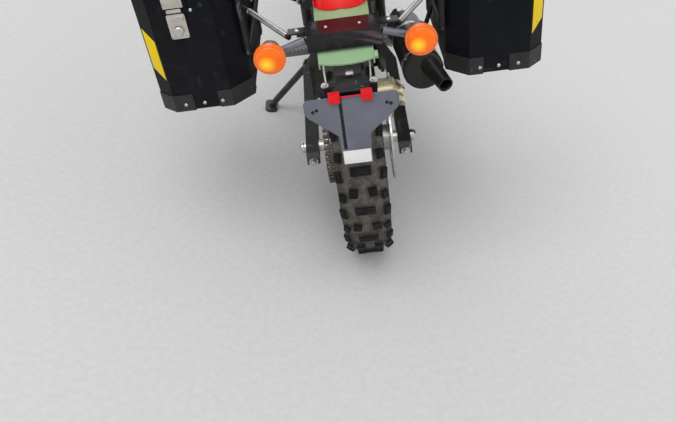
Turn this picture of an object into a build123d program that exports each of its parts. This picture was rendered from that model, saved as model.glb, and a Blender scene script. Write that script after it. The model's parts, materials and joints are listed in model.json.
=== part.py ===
"""Dual-sport motorcycle with two aluminium panniers, parked on its side stand.

Millimetres. Every piece is modelled with the machine upright: X to the right, Y forwards and Z up, with
the rear axle above the origin. The last section leans the pieces over and stands them on the floor.
"""

import os
from math import asin, atan2, cos, hypot, pi, radians, sin, tan

from build123d import *

os.makedirs("parts", exist_ok=True)

# Stance
LEAN = 14.0
WHEELBASE = 1490.0
RAKE = 28.0
FIT = 0.3          # running fit between pieces of one body
TURN_GAP = 0.8     # clearance of an axle or stem in what turns on it
MOVE_GAP = 6.0     # clearance between pieces that move past each other

# Rear wheel
REAR_CROWN_R = 322.0       # over the lugs
REAR_LUG_HALF = 30.0       # half width of the flat middle of the tread
REAR_HALF_WIDTH = 65.0
REAR_BEAD_R = 216.0
REAR_RIM_HALF = 46.0
# Front wheel
FRONT_CROWN_R = 348.0
FRONT_LUG_HALF = 20.0
FRONT_HALF_WIDTH = 46.0
FRONT_BEAD_R = 267.0
FRONT_RIM_HALF = 31.0
TREAD_DEPTH = 11.0
TREAD_ROWS = 36            # round a tyre: a multiple of 4, so that a bar stands on the floor
LUG_LONG = 28.0            # along the tread
SHOULDER_LONG = 32.0

# Where the leaned tyres meet the floor: each lies on the left edge of the flat middle of its tread.
REAR_REACH = REAR_CROWN_R + REAR_LUG_HALF * tan(radians(LEAN))
FRONT_REACH = FRONT_CROWN_R + FRONT_LUG_HALF * tan(radians(LEAN))
REAR_AXLE_Z = 322.0
FLOOR_Z = REAR_AXLE_Z - REAR_REACH          # height of the leaned floor plane at X = 0
FRONT_AXLE_Z = FLOOR_Z + FRONT_REACH
AXLE_R = 10.0

REAR_AXLE = Axis((0, 0, REAR_AXLE_Z), (1, 0, 0))
FRONT_AXLE = Axis((0, WHEELBASE, FRONT_AXLE_Z), (1, 0, 0))

# Brakes and drive
REAR_DISC_R = 120.0
REAR_DISC_X = 92.0
FRONT_DISC_R = 145.0
FRONT_DISC_X = -64.0
DISC_THICK = 5.0
CHAIN_X = -84.0
CHAIN_WIDTH = 17.0
CHAIN_HEIGHT = 14.0
SPROCKET_R = 106.0         # pitch radius, rear
PINION_R = 38.0            # pitch radius, gearbox
PINION_Y = 645.0
PINION_Z = 400.0
SPROCKET_THICK = 6.0

# Swingarm
PIVOT_Y = 560.0
PIVOT_Z = 405.0
ARM_OUTER = 147.0
ARM_INNER = 112.0
ARM_HEIGHT = 46.0
ARM_TAIL = 64.0            # how far the arm runs behind the axle

# Steering: a plane whose Z runs up the steering axis and whose Y leads forwards
FORK_OFFSET = 38.0
AXLE_LEAD = 26.0
AXLE_OFFSET = FORK_OFFSET + AXLE_LEAD
STEER = Plane(
    origin=(0, WHEELBASE - AXLE_OFFSET * cos(radians(RAKE)), FRONT_AXLE_Z - AXLE_OFFSET * sin(radians(RAKE))),
    x_dir=(1, 0, 0),
    z_dir=(0, -sin(radians(RAKE)), cos(radians(RAKE))),
)
FORK_LEG_X = 100.0
HEAD_LOW = 578.0           # steering head, measured up the steering axis
HEAD_HIGH = 728.0
HEAD_R = 30.0
STEM_R = 14.0
CLAMP_THICK = 28.0
CLAMP_GAP = 0.8
FORK_TUBE_R = 27.0
SLIDER_R = 21.5
FORK_TUBE_LOW = 300.0
BAR_R = 11.0
BAR_RISE = 60.0            # bar centre above the upper clamp
BAR_HALF = 400.0
GRIP_LENGTH = 125.0
GRIP_R = 17.0

# Panniers
BOX_INNER_X = 241.0
BOX_OUTER_X = 469.0
BOX_REAR_Y = -146.0
BOX_FRONT_Y = 299.0
BOX_LOW_Z = 575.0
SEAM_Z = 880.0
LID_TOP_Z = 936.0
SHEET = 2.5
SEAM_GAP = 0.5
LID_CHAMFER = 3.0
HINGE_LEAD = 8.0           # hinge axis ahead of the box's front face
HINGE_R = 5.0
HINGE_PIN_R = 2.0

# Bodywork and seat
TAIL_BAR_HALF = 79.0
FENDER_HALF = 60.0
FENDER_SHEET = 3.0
STAND_PIVOT = (-147.0, 604.0, 262.0)
STAND_FOOT_X = -318.0
STAND_FOOT_Y = 660.0

RIGHT, LEFT = 1, -1


def across(y):
    """A plane square to the machine's length: its X is the machine's X, its Y is up."""
    return Plane(origin=(0, y, 0), x_dir=(1, 0, 0), z_dir=(0, -1, 0))


def beside(x, y=0, z=0):
    """A plane square to the machine's width: its X is forwards, its Y is up, its Z is to the right."""
    return Plane(origin=(x, y, z), x_dir=(0, 1, 0), z_dir=(1, 0, 0))


def fork_side(x):
    """The same in the fork: its X leads forwards, its Y runs up the steering axis."""
    return Plane(origin=STEER.from_local_coords((x, 0, 0)), x_dir=STEER.y_dir, z_dir=(1, 0, 0))


def forked(x, lead, rise):
    """A point given in the fork's plane, in the machine's own frame."""
    return STEER.from_local_coords(Vector(x, lead, rise))


def floor_height(x):
    """Height of the leaned floor below a point at x, in the upright machine's frame."""
    return FLOOR_Z - x * tan(radians(LEAN))


def tubes(rows):
    """Round tubes fused where they meet. Rows: points of the run, radius, bend radius."""
    with BuildPart() as run:
        for points, radius, bend in rows:
            with BuildLine() as line:
                if len(points) == 2:
                    Line(*points)
                else:
                    FilletPolyline(*points, radius=bend)
            with BuildSketch(Plane(origin=line.line @ 0, z_dir=line.line % 0)):
                Circle(radius)
            sweep()
    return run.part


def both_sides(rows):
    """The rows of tubes() with a copy of each on the machine's other side."""
    mirrored = [([(-x, y, z) for x, y, z in points], radius, bend) for points, radius, bend in rows]
    return rows + mirrored


# Wheels
def make_tyre(axle, crown_r, half_width, lug_half, bead_r, rim_half):
    """A knobbly tyre in flat facets, open towards the rim: by turns a bar across the tread and two side lugs."""
    wall, bead_high = 9.0, 11.0
    groove = 2.0               # how far a lug's foot is sunk into the carcass
    seat = rim_half - 6.0
    base_r = crown_r - TREAD_DEPTH
    shoulder = Vector(half_width - 8, crown_r - 0.30 * half_width - 7)
    widest_r = bead_r + 0.45 * (shoulder.Y + 7 - bead_r)
    tread_edge = Vector(lug_half + 2, base_r)
    along = (shoulder - tread_edge).normalized()
    outwards = Vector(-along.Y, along.X)
    step = 360.0 / TREAD_ROWS
    stretch = 1 / cos(radians(step / 2))        # from a facet's middle out to its edges
    half = [
        (tread_edge.X, tread_edge.Y), (shoulder.X, shoulder.Y), (half_width, widest_r),
        (seat, bead_r + bead_high), (seat, bead_r), (seat - wall, bead_r), (half_width - wall, widest_r),
    ]
    ring = half + [(0, base_r - wall)] + [(-x, r) for x, r in reversed(half)]
    bar = [
        (-lug_half - 3, base_r - groove), (-lug_half, crown_r), (lug_half, crown_r), (lug_half + 3, base_r - groove),
    ]
    side_lug = [
        tread_edge + along * 2 - outwards * groove, tread_edge + along * 3 + outwards * 9,
        shoulder + outwards * 9, shoulder - along - outwards * groove,
    ]
    side_lug = [(corner.X, corner.Y) for corner in side_lug]
    sectors = []
    for lugs, long in (((bar,), LUG_LONG), ((side_lug, [(-x, r) for x, r in side_lug]), SHOULDER_LONG)):
        with BuildPart() as sector:
            for turn in (radians(-step / 2), radians(step / 2)):
                with BuildSketch(Plane(origin=axle.position, x_dir=(1, 0, 0), z_dir=(0, -cos(turn), -sin(turn)))):
                    Polygon(*[(x, r * stretch) for x, r in ring], align=None)
            loft(ruled=True)
            with BuildSketch(Plane(origin=axle.position, x_dir=(1, 0, 0), z_dir=(0, -1, 0))):
                for outline in lugs:
                    Polygon(*outline, align=None)
            extrude(amount=long / 2, both=True)
        sectors.append(sector.part)
    with BuildPart() as tyre:
        add([sectors[row % 2].rotate(axle, step * row) for row in range(TREAD_ROWS)])
    return tyre


SPOKE_R = 2.4
SPOKE_PAIRS = 8            # crossed pairs on each side of a hub
SPOKE_SWEEP = 48.0         # degrees that a spoke turns between hub and rim


def make_rim(axle, bead_r, rim_half, hub_rows, flange_x, flange_r):
    """Rim, hub and crossed six-sided spokes. hub_rows: distance along the axle, radius there."""
    lip, seat_drop, well = 9.0, 3.0, 17.0
    sheet = 4.0
    seat_r = bead_r - FIT
    with BuildPart() as rim:
        with BuildSketch(Plane(origin=axle.position, x_dir=(1, 0, 0), z_dir=(0, -1, 0))):
            with BuildLine():
                half = [
                    (rim_half, seat_r + lip),
                    (rim_half - sheet, seat_r + lip),
                    (rim_half - sheet - 1, seat_r),
                    (rim_half - 16, seat_r - seat_drop),
                    (12, seat_r - well),
                ]
                under = [
                    (14, seat_r - well - sheet),
                    (rim_half - 13, seat_r - seat_drop - sheet),
                    (rim_half, seat_r - sheet),
                ]
                Polyline(
                    *half,
                    *[(-x, r) for x, r in reversed(half)],
                    *[(-x, r) for x, r in reversed(under)],
                    *under,
                    close=True,
                )
            make_face()
            with BuildLine():
                bore = AXLE_R + TURN_GAP
                first, last = hub_rows[0][0], hub_rows[-1][0]
                Polyline((first, bore), *hub_rows, (last, bore), close=True)
            make_face()
        revolve(axis=axle)
        for side in (LEFT, RIGHT):
            length = 0
            for k in range(SPOKE_PAIRS):
                for lay in (LEFT, RIGHT):
                    turn = radians(360.0 / SPOKE_PAIRS * (k + 0.25 * side + 0.125 * lay))
                    foot = turn + lay * radians(SPOKE_SWEEP)
                    nipple_r = seat_r - well - 2
                    hook_r = flange_r - 4
                    hook = axle.position + Vector(flange_x[side], hook_r * cos(turn), hook_r * sin(turn))
                    nipple = axle.position + Vector(side * 7, nipple_r * cos(foot), nipple_r * sin(foot))
                    with BuildSketch(Plane(origin=hook, z_dir=nipple - hook)):
                        RegularPolygon(SPOKE_R, 6)
                    length = (nipple - hook).length
            extrude(amount=length)
    return rim


rear_hub = [
    (-74, 44), (-62, 44), (-58, 34), (-46, 34), (-44, 52), (-38, 52), (-36, 33), (38, 33), (40, 48), (46, 48),
    (48, 36), (REAR_DISC_X - DISC_THICK / 2, 36),
]
front_hub = [
    (FRONT_DISC_X + DISC_THICK / 2, 34), (-44, 34), (-42, 40), (-37, 40), (-35, 24), (30, 24), (32, 40), (37, 40),
    (39, 24), (58, 24),
]
rear_rim = make_rim(REAR_AXLE, REAR_BEAD_R, REAR_RIM_HALF, rear_hub, {LEFT: 41, RIGHT: 43}, 52)
front_rim = make_rim(FRONT_AXLE, FRONT_BEAD_R, FRONT_RIM_HALF, front_hub, {LEFT: 39.5, RIGHT: 34.5}, 40)
rear_rim.part.label = "rear_rim"
front_rim.part.label = "front_rim"
rear_tyre = make_tyre(REAR_AXLE, REAR_CROWN_R, REAR_HALF_WIDTH, REAR_LUG_HALF, REAR_BEAD_R, REAR_RIM_HALF)
front_tyre = make_tyre(FRONT_AXLE, FRONT_CROWN_R, FRONT_HALF_WIDTH, FRONT_LUG_HALF, FRONT_BEAD_R, FRONT_RIM_HALF)
rear_tyre.part.label = "rear_tyre"
front_tyre.part.label = "front_tyre"


def make_disc(axle, x, outer_r, hub_r, arms):
    """A brake disc: a ring on curved arms, with a bore on the hub's end."""
    with BuildPart() as disc:
        centre = Vector(x - DISC_THICK / 2, axle.position.Y, axle.position.Z)
        with BuildSketch(Plane(origin=centre, x_dir=(0, 1, 0), z_dir=(1, 0, 0))):
            Circle(outer_r)
            Circle(outer_r - 34, mode=Mode.SUBTRACT)
            with PolarLocations(0, arms):
                with Locations((outer_r / 2 + hub_r / 4, 0)):
                    Rectangle(outer_r - hub_r / 2 - 12, 13)
            Circle(hub_r)
            Circle(AXLE_R + TURN_GAP, mode=Mode.SUBTRACT)
        extrude(amount=DISC_THICK)
    return disc


rear_disc = make_disc(REAR_AXLE, REAR_DISC_X, REAR_DISC_R, 44, 6)
rear_disc.part.label = "rear_disc"
front_disc = make_disc(FRONT_AXLE, FRONT_DISC_X, FRONT_DISC_R, 42, 6)
front_disc.part.label = "front_disc"

SPROCKET_TEETH = 42
TOOTH_TIP_R = SPROCKET_R - CHAIN_HEIGHT / 2 - 1.5
with BuildPart() as rear_sprocket:
    with BuildSketch(beside(CHAIN_X - SPROCKET_THICK / 2, 0, REAR_AXLE_Z)):
        Circle(TOOTH_TIP_R - 7)
        with PolarLocations(TOOTH_TIP_R - 4, SPROCKET_TEETH):
            Trapezoid(9, 8, 75, rotation=-90)
        with PolarLocations(66, 6):
            Circle(12, mode=Mode.SUBTRACT)
        Circle(AXLE_R + TURN_GAP, mode=Mode.SUBTRACT)
    extrude(amount=SPROCKET_THICK)
    with BuildSketch(beside(CHAIN_X + SPROCKET_THICK / 2, 0, REAR_AXLE_Z)):
        Circle(44)
        Circle(AXLE_R + TURN_GAP, mode=Mode.SUBTRACT)
    extrude(amount=-74 - (CHAIN_X + SPROCKET_THICK / 2))
rear_sprocket.part.label = "rear_sprocket"

# Chain: one closed loop round both sprockets
CENTRES = hypot(PINION_Y, PINION_Z - REAR_AXLE_Z)
CHAIN_SLOPE = atan2(PINION_Z - REAR_AXLE_Z, PINION_Y)
CHAIN_FLARE = asin((SPROCKET_R - PINION_R) / CENTRES)


CHAIN_LINKS = 104
STRAIGHT_RUN = CENTRES * cos(CHAIN_FLARE)
FRONT_WRAP = PINION_R * (pi - 2 * CHAIN_FLARE)
REAR_WRAP = SPROCKET_R * (pi + 2 * CHAIN_FLARE)
LINK_PITCH = (2 * STRAIGHT_RUN + FRONT_WRAP + REAR_WRAP) / CHAIN_LINKS
PLATE_LONG = 16.0
ROLLER_WIDTH = 10.0
ROLLER_HEIGHT = 9.0


def on_loop(centre, radius, angle):
    """A place on the pitch line: forwards, up, and the direction square to the line."""
    return centre[0] + radius * cos(angle), centre[1] + radius * sin(angle), angle


def link_place(link):
    """The place of a link, counted from the rear sprocket's top forwards along the upper run."""
    top, low = CHAIN_SLOPE + pi / 2 - CHAIN_FLARE, CHAIN_SLOPE - pi / 2 + CHAIN_FLARE
    rear, front = (0, REAR_AXLE_Z), (PINION_Y, PINION_Z)
    way = (link + 0.5) * LINK_PITCH
    if way < STRAIGHT_RUN:
        y, z, angle = on_loop(rear, SPROCKET_R, top)
        return y + way * sin(top), z - way * cos(top), angle
    way -= STRAIGHT_RUN
    if way < FRONT_WRAP:
        return on_loop(front, PINION_R, top - way / PINION_R)
    way -= FRONT_WRAP
    if way < STRAIGHT_RUN:
        y, z, angle = on_loop(front, PINION_R, low)
        return y + way * sin(low), z - way * cos(low), angle
    way -= STRAIGHT_RUN
    return on_loop(rear, SPROCKET_R, low - way / SPROCKET_R)


places = [link_place(link) for link in range(CHAIN_LINKS)]
with BuildPart() as chain:
    with BuildSketch(beside(CHAIN_X - ROLLER_WIDTH / 2)):
        for reach, mode in ((ROLLER_HEIGHT / 2, Mode.ADD), (-ROLLER_HEIGHT / 2, Mode.SUBTRACT)):
            corners = [(y + reach * cos(turn), z + reach * sin(turn)) for y, z, turn in places]
            Polygon(*corners, align=None, mode=mode)
    extrude(amount=ROLLER_WIDTH)
    with BuildSketch(beside(CHAIN_X - CHAIN_WIDTH / 2)):
        for y, z, turn in places[::2]:
            with Locations(Location((y, z, 0), (0, 0, turn * 180 / pi))):
                Rectangle(CHAIN_HEIGHT, PLATE_LONG)
    extrude(amount=CHAIN_WIDTH)
chain.part.label = "chain"

# Where the shock absorber and the side stand are carried
SHOCK_LOW = Vector(0, 445, 437)
SHOCK_HIGH = Vector(0, 549, 642)
SHOCK_CROSS_R = 13.0
SHOCK_PIN_R = 8.0
EYE_HALF = 15.0
STAND_HALF = 12.5
STAND_PIN_R = 6.0
STAND_AXIS = Vector(1, 0, -0.73).normalized()
stand_hinge = Plane(origin=STAND_PIVOT, x_dir=(0, 1, 0), z_dir=STAND_AXIS)

# Swingarm and rear axle
ARM_PLANE = Plane(
    origin=(0, 0, REAR_AXLE_Z), x_dir=(1, 0, 0),
    z_dir=Vector(0, REAR_AXLE_Z - PIVOT_Z, PIVOT_Y),
)
ARM_LENGTH = hypot(PIVOT_Y, PIVOT_Z - REAR_AXLE_Z)
PIVOT_TUBE_R = 20.0
PIVOT_HALF = 100.0
with BuildPart() as swingarm:
    with BuildSketch(ARM_PLANE.offset(-ARM_HEIGHT / 2)):
        with BuildLine():
            Polyline(
                (ARM_INNER, -ARM_TAIL), (ARM_OUTER, -ARM_TAIL), (ARM_OUTER, 330), (PIVOT_HALF + 2, 470),
                (PIVOT_HALF, ARM_LENGTH), (72, ARM_LENGTH), (78, 450), (ARM_INNER, 330), close=True,
            )
        make_face()
        mirror(about=Plane.YZ)
        with Locations((0, 445)):
            Rectangle(2 * 84, 60)
    extrude(amount=ARM_HEIGHT)
    chamfer(swingarm.edges().filter_by(Axis.X).sort_by(Axis.Y)[:4], 13)
    with BuildSketch(beside(-PIVOT_HALF)):
        with Locations((PIVOT_Y, PIVOT_Z)):
            Circle(PIVOT_TUBE_R)
    extrude(amount=2 * PIVOT_HALF)
    for side in (LEFT, RIGHT):
        with BuildSketch(beside(side * (EYE_HALF + FIT))):
            Polygon((424, 396), (470, 400), (458, SHOCK_LOW.Z + 10), (432, SHOCK_LOW.Z + 10), align=None)
        extrude(amount=side * 8)
    with BuildSketch(beside(-EYE_HALF - 6)):
        with Locations((SHOCK_LOW.Y, SHOCK_LOW.Z)):
            Circle(SHOCK_PIN_R)
    extrude(amount=2 * EYE_HALF + 12)
    with BuildSketch(beside(-ARM_OUTER)):
        with Locations((0, REAR_AXLE_Z)):
            Circle(AXLE_R + FIT)
        with Locations((PIVOT_Y, PIVOT_Z)):
            Circle(AXLE_R + FIT)
    extrude(amount=2 * ARM_OUTER, mode=Mode.SUBTRACT)
swingarm.part.label = "swingarm"

HUB_RIGHT = REAR_DISC_X + DISC_THICK / 2
with BuildPart() as rear_axle:
    with BuildSketch(Plane(origin=(0, 0, REAR_AXLE_Z), x_dir=(1, 0, 0), z_dir=(0, -1, 0))):
        with BuildLine():
            Polyline(
                (-ARM_OUTER - 14, 0), (-ARM_OUTER - 14, 16), (-ARM_OUTER - FIT, 16), (-ARM_OUTER - FIT, AXLE_R),
                (-ARM_INNER + FIT, AXLE_R), (-ARM_INNER + FIT, 17), (CHAIN_X - SPROCKET_THICK / 2 - TURN_GAP, 17),
                (CHAIN_X - SPROCKET_THICK / 2 - TURN_GAP, AXLE_R), (HUB_RIGHT + TURN_GAP, AXLE_R),
                (HUB_RIGHT + TURN_GAP, 17), (ARM_INNER - FIT, 17), (ARM_INNER - FIT, AXLE_R),
                (ARM_OUTER + FIT, AXLE_R), (ARM_OUTER + FIT, 16), (ARM_OUTER + 12, 16), (ARM_OUTER + 12, 0),
                close=True,
            )
        make_face()
    revolve(axis=REAR_AXLE)
rear_axle.part.label = "rear_axle"

# Main frame, subframe
FRAME_R = 16.0
CRADLE_X = 110.0
CRADLE_Z = 262.0
SPAR_X = 124.0
ENGINE_LOW_Z = 288.0
TUNNEL_HALF = 58.0          # of the fuel tank's tunnel over the frame
head_top = forked(0, 0, HEAD_HIGH - 60)
head_bottom = forked(0, 0, HEAD_LOW + 74)
frame_tubes = tubes(both_sides([
    ([(14, head_top.Y, head_top.Z), (34, head_top.Y - 120, 842), (38, 720, 800), (SPAR_X, PIVOT_Y, 640),
      (SPAR_X, PIVOT_Y, 430)], FRAME_R, 60),
    ([(14, head_bottom.Y, head_bottom.Z), (72, head_top.Y - 110, 520), (CRADLE_X, head_top.Y - 180, CRADLE_Z),
      (CRADLE_X, 520, CRADLE_Z)], FRAME_R, 70),
]) + [
    ([(FIT - TUNNEL_HALF, y, z), (TUNNEL_HALF - FIT, y, z)], 9, 10) for y, z in ((830, 816), (940, 833))
])
with BuildPart() as main_frame:
    add(frame_tubes)
    with BuildSketch(beside(-CRADLE_X + 4)):
        with Locations((665, CRADLE_Z + 12), (800, CRADLE_Z + 12)):
            Rectangle(30, 2 * (ENGINE_LOW_Z - FIT - CRADLE_Z - 12))
    extrude(amount=2 * CRADLE_X - 8)
    with BuildSketch(STEER.offset(HEAD_LOW)):
        Circle(HEAD_R)
    extrude(amount=HEAD_HIGH - HEAD_LOW)
    for side in (LEFT, RIGHT):
        with BuildSketch(beside(side * 104)):
            with BuildLine():
                Polyline((500, 250), (590, 250), (600, 420), (585, 470), (530, 460), (515, 340), close=True)
            make_face()
            with Locations((PIVOT_Y, PIVOT_Z)):
                Circle(AXLE_R + FIT, mode=Mode.SUBTRACT)
        extrude(amount=side * 12)
    with BuildSketch(beside(-SPAR_X)):
        with Locations((SHOCK_HIGH.Y, SHOCK_HIGH.Z)):
            Circle(SHOCK_CROSS_R)
    extrude(amount=2 * SPAR_X)
    with BuildSketch(stand_hinge.offset(STAND_HALF + TURN_GAP)):
        Circle(16)
    extrude(amount=26)
    with BuildSketch(stand_hinge.offset(-STAND_HALF - 6)):
        Circle(STAND_PIN_R)
    extrude(amount=2 * STAND_HALF + 10)
    with BuildSketch(stand_hinge.offset(-STAND_HALF - 6)):
        Circle(STAND_PIN_R + 5)
    extrude(amount=5)
    with BuildSketch(STEER.offset(HEAD_LOW - 5)):
        Circle(STEM_R + TURN_GAP + 2)
    extrude(amount=HEAD_HIGH - HEAD_LOW + 10, mode=Mode.SUBTRACT)
main_frame.part.label = "main_frame"

SUBFRAME_X = 72.0
RAIL_R = 11.0
RAIL_BEND_Y, RAIL_BEND_Z = 480.0, 790.0
RAIL_END_Y, RAIL_END_Z = -176.0, 818.0
TAIL_CROSS_Y, TAIL_CROSS_Z = -130.0, 817.6


def rail_height(y):
    """Height of the subframe's upper rails."""
    return RAIL_BEND_Z + (RAIL_BEND_Y - y) * (RAIL_END_Z - RAIL_BEND_Z) / (RAIL_BEND_Y - RAIL_END_Y)


subframe_tubes = tubes(both_sides([
    ([(SPAR_X - 10, 575, 680), (SUBFRAME_X + 18, RAIL_BEND_Y, RAIL_BEND_Z), (SUBFRAME_X, RAIL_END_Y, RAIL_END_Z)],
     RAIL_R, 60),
    ([(SPAR_X, 562, 560), (84, 420, 640), (SUBFRAME_X + 8, 120, rail_height(120) - 8)], 9, 60),
]) + [
    ([(-SUBFRAME_X, 60, rail_height(60)), (SUBFRAME_X, 60, rail_height(60))], 9, 10),
    ([(-SUBFRAME_X, TAIL_CROSS_Y, TAIL_CROSS_Z), (SUBFRAME_X, TAIL_CROSS_Y, TAIL_CROSS_Z)], 9, 10),
])
with BuildPart() as subframe:
    add(subframe_tubes)
    add(main_frame.part, mode=Mode.SUBTRACT)
subframe.part.label = "subframe"

# Engine: a closed mass with round side covers, and an open finned cylinder
CASE_HALF = 112.0
BORE_LEAN = 14.0
FIN_HALF = 74.0
FIN_LENGTH = 138.0
FIN_COUNT = 8
FIN_PITCH = 15.0
FIN_THICK = 5.0
DECK_Y = 765.0
DECK_Z = 548.0


def deck(y):
    """Height of the crankcase deck that the cylinder stands on."""
    return DECK_Z - (y - DECK_Y) * tan(radians(BORE_LEAN))


CYL = Plane(
    origin=(0, DECK_Y, DECK_Z + FIT), x_dir=(1, 0, 0), z_dir=(0, sin(radians(BORE_LEAN)), cos(radians(BORE_LEAN))),
)
with BuildPart() as engine_case:
    with BuildSketch(beside(-CASE_HALF + 18)):
        with BuildLine():
            Polyline(
                (592, 420), (592, 320), (620, ENGINE_LOW_Z), (830, ENGINE_LOW_Z), (872, 330), (872, 470),
                (838, deck(838)), (700, deck(700)), (600, 520), close=True,
            )
        make_face()
    extrude(amount=2 * CASE_HALF - 36)
    fillet(engine_case.edges().filter_by(Axis.X), 12)
    with BuildSketch(beside(CASE_HALF - 18)):
        with Locations((735, 410)):
            Circle(82)
        with Locations((650, 345)):
            Circle(40)
        make_hull()
    extrude(amount=30)
    with BuildSketch(beside(-CASE_HALF + 18)):
        with Locations((790, 405)):
            Circle(70)
    extrude(amount=-24)
    with BuildSketch(beside(CHAIN_X - SPROCKET_THICK / 2)):
        with Locations((PINION_Y, PINION_Z)):
            Circle(PINION_R - CHAIN_HEIGHT / 2 - FIT)
    extrude(amount=-(CHAIN_X - SPROCKET_THICK / 2) - 60)
    with BuildSketch(beside(-CASE_HALF + 10)):
        with Locations((PINION_Y, PINION_Z)):
            Circle(PINION_R + 24)
        with Locations((PINION_Y - 50, PINION_Z)):
            Rectangle(100, 2 * PINION_R + 48)
    extrude(amount=40, mode=Mode.SUBTRACT)
    with BuildSketch(beside(CHAIN_X - CHAIN_WIDTH / 2 - 2)):
        with Locations((PINION_Y, PINION_Z)):
            Circle(PINION_R - CHAIN_HEIGHT / 2 - FIT)
    extrude(amount=40)
engine_case.part.label = "engine_case"

with BuildPart() as cylinder:
    with BuildSketch(CYL):
        RectangleRounded(104, 108, 20)
    extrude(amount=FIN_PITCH * (FIN_COUNT + 1) + 92)
    for k in range(FIN_COUNT):
        with BuildSketch(CYL.offset(FIN_PITCH * (k + 1))):
            RectangleRounded(2 * FIN_HALF, FIN_LENGTH, 22)
        extrude(amount=FIN_THICK)
    with BuildSketch(CYL.offset(FIN_PITCH * (FIN_COUNT + 1))):
        RectangleRounded(2 * FIN_HALF - 6, FIN_LENGTH + 14, 24)
    extrude(amount=62)
    with BuildSketch(CYL.offset(FIN_PITCH * (FIN_COUNT + 1) + 62)):
        RectangleRounded(2 * FIN_HALF - 22, FIN_LENGTH - 18, 24)
    extrude(amount=24)
cylinder.part.label = "cylinder"

# Air box between the frame's spars, with the carburettor that joins it to the back of the cylinder head
AIR_BOX_Y = 640.0          # its front face
port_back = CYL.from_local_coords((0, -FIN_LENGTH / 2 - 7 - FIT, FIN_PITCH * (FIN_COUNT + 1) + 26))
port_run = CYL.from_local_coords((0, -FIN_LENGTH / 2 - 32, FIN_PITCH * (FIN_COUNT + 1) + 26))
intake = tubes([
    ([tuple(port_back), tuple(port_run), (0, AIR_BOX_Y + 26, 690), (0, AIR_BOX_Y - 4, 690)], 22, 14),
])
with BuildPart() as air_box:
    add(intake)
    with BuildSketch(beside(-52)):
        Polygon((582, 600), (AIR_BOX_Y, 588), (AIR_BOX_Y, 735), (590, 735), align=None)
    extrude(amount=104)
    fillet(air_box.edges().filter_by(Axis.X).sort_by(Axis.Z)[-2:], 12)
    with BuildSketch(across(AIR_BOX_Y + 50)):
        with Locations((0, 700)):
            Rectangle(54, 70)
    extrude(amount=32)
air_box.part.label = "air_box"

# Exhaust: header down the front of the engine, along its right side and up into the muffler
HEADER_R = 22.0
HEAD_HALF_LENGTH = FIN_LENGTH / 2 + 7
PORT_RISE = FIN_PITCH * (FIN_COUNT + 1) + 30
port = CYL.from_local_coords((20, HEAD_HALF_LENGTH + FIT, PORT_RISE))
port_bend = CYL.from_local_coords((20, HEAD_HALF_LENGTH + 62, PORT_RISE))
MUFFLER_BACK = Vector(180, -140, 600)
MUFFLER_FRONT = Vector(168, 290, 528)
MUFFLER_R = 48.0
muffler_line = (MUFFLER_BACK - MUFFLER_FRONT).normalized()
header_run = tubes([
    ([tuple(port), tuple(port_bend), (36, 922, 380), (134, 896, 310), (154, 790, 306), (158, 650, 322),
      (166, 556, 408), tuple(MUFFLER_FRONT - muffler_line * 72), tuple(MUFFLER_FRONT)], HEADER_R, 34),
])
with BuildPart() as exhaust_header:
    add(header_run)
exhaust_header.part.label = "exhaust_header"

TAILPIPE = (Vector(198, -143, 608), Vector(222, -220, 598))
with BuildPart() as muffler:
    front_cone = Plane(origin=MUFFLER_FRONT + muffler_line * FIT, z_dir=muffler_line)
    with BuildSketch(front_cone):
        Circle(HEADER_R + 4)
    with BuildSketch(front_cone.offset(60)):
        Circle(MUFFLER_R)
    loft()
    with BuildSketch(front_cone.offset(60)):
        Circle(MUFFLER_R)
    extrude(amount=(MUFFLER_BACK - MUFFLER_FRONT).length - 60)
    with BuildSketch(Plane(origin=TAILPIPE[0], z_dir=TAILPIPE[1] - TAILPIPE[0]).offset(-25)):
        Circle(24)
    with BuildSketch(Plane(origin=TAILPIPE[1], z_dir=TAILPIPE[1] - TAILPIPE[0])):
        Circle(18)
    loft()
    with BuildSketch(Plane(origin=TAILPIPE[1], z_dir=TAILPIPE[0] - TAILPIPE[1])):
        Circle(15)
    extrude(amount=60, mode=Mode.SUBTRACT)
muffler.part.label = "muffler"

# Shock absorber behind the engine, and the skid plate below it
shock_axis = (SHOCK_HIGH - SHOCK_LOW).normalized()
shock_length = (SHOCK_HIGH - SHOCK_LOW).length
SHOCK_ROD_R = 14.0
COIL_R = 33.0
COIL_TURNS = 7
COIL_PITCH = 17.0
with BuildPart() as shock_absorber:
    up_shock = Plane(origin=SHOCK_LOW, x_dir=(1, 0, 0), z_dir=shock_axis)
    with BuildSketch(up_shock):
        Circle(SHOCK_ROD_R)
    extrude(amount=shock_length)
    for start, length, radius in ((30, 8, 34), (38, 124, 22), (162, 10, 34), (172, 30, 28)):
        with BuildSketch(up_shock.offset(start)):
            Circle(radius)
        extrude(amount=length)
    for k in range(COIL_TURNS):
        with BuildSketch(up_shock.offset(43 + COIL_PITCH * k)):
            Circle(COIL_R)
            Circle(21, mode=Mode.SUBTRACT)
        extrude(amount=9)
    for centre, eye_r, pin_r in ((SHOCK_LOW, 17, SHOCK_PIN_R), (SHOCK_HIGH, 22, SHOCK_CROSS_R)):
        with BuildSketch(beside(-EYE_HALF)):
            with Locations((centre.Y, centre.Z)):
                Circle(eye_r)
        extrude(amount=2 * EYE_HALF)
    for centre, eye_r, pin_r in ((SHOCK_LOW, 17, SHOCK_PIN_R), (SHOCK_HIGH, 22, SHOCK_CROSS_R)):
        with BuildSketch(beside(-EYE_HALF)):
            with Locations((centre.Y, centre.Z)):
                Circle(pin_r + FIT)
        extrude(amount=2 * EYE_HALF, mode=Mode.SUBTRACT)
shock_absorber.part.label = "shock_absorber"

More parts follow.
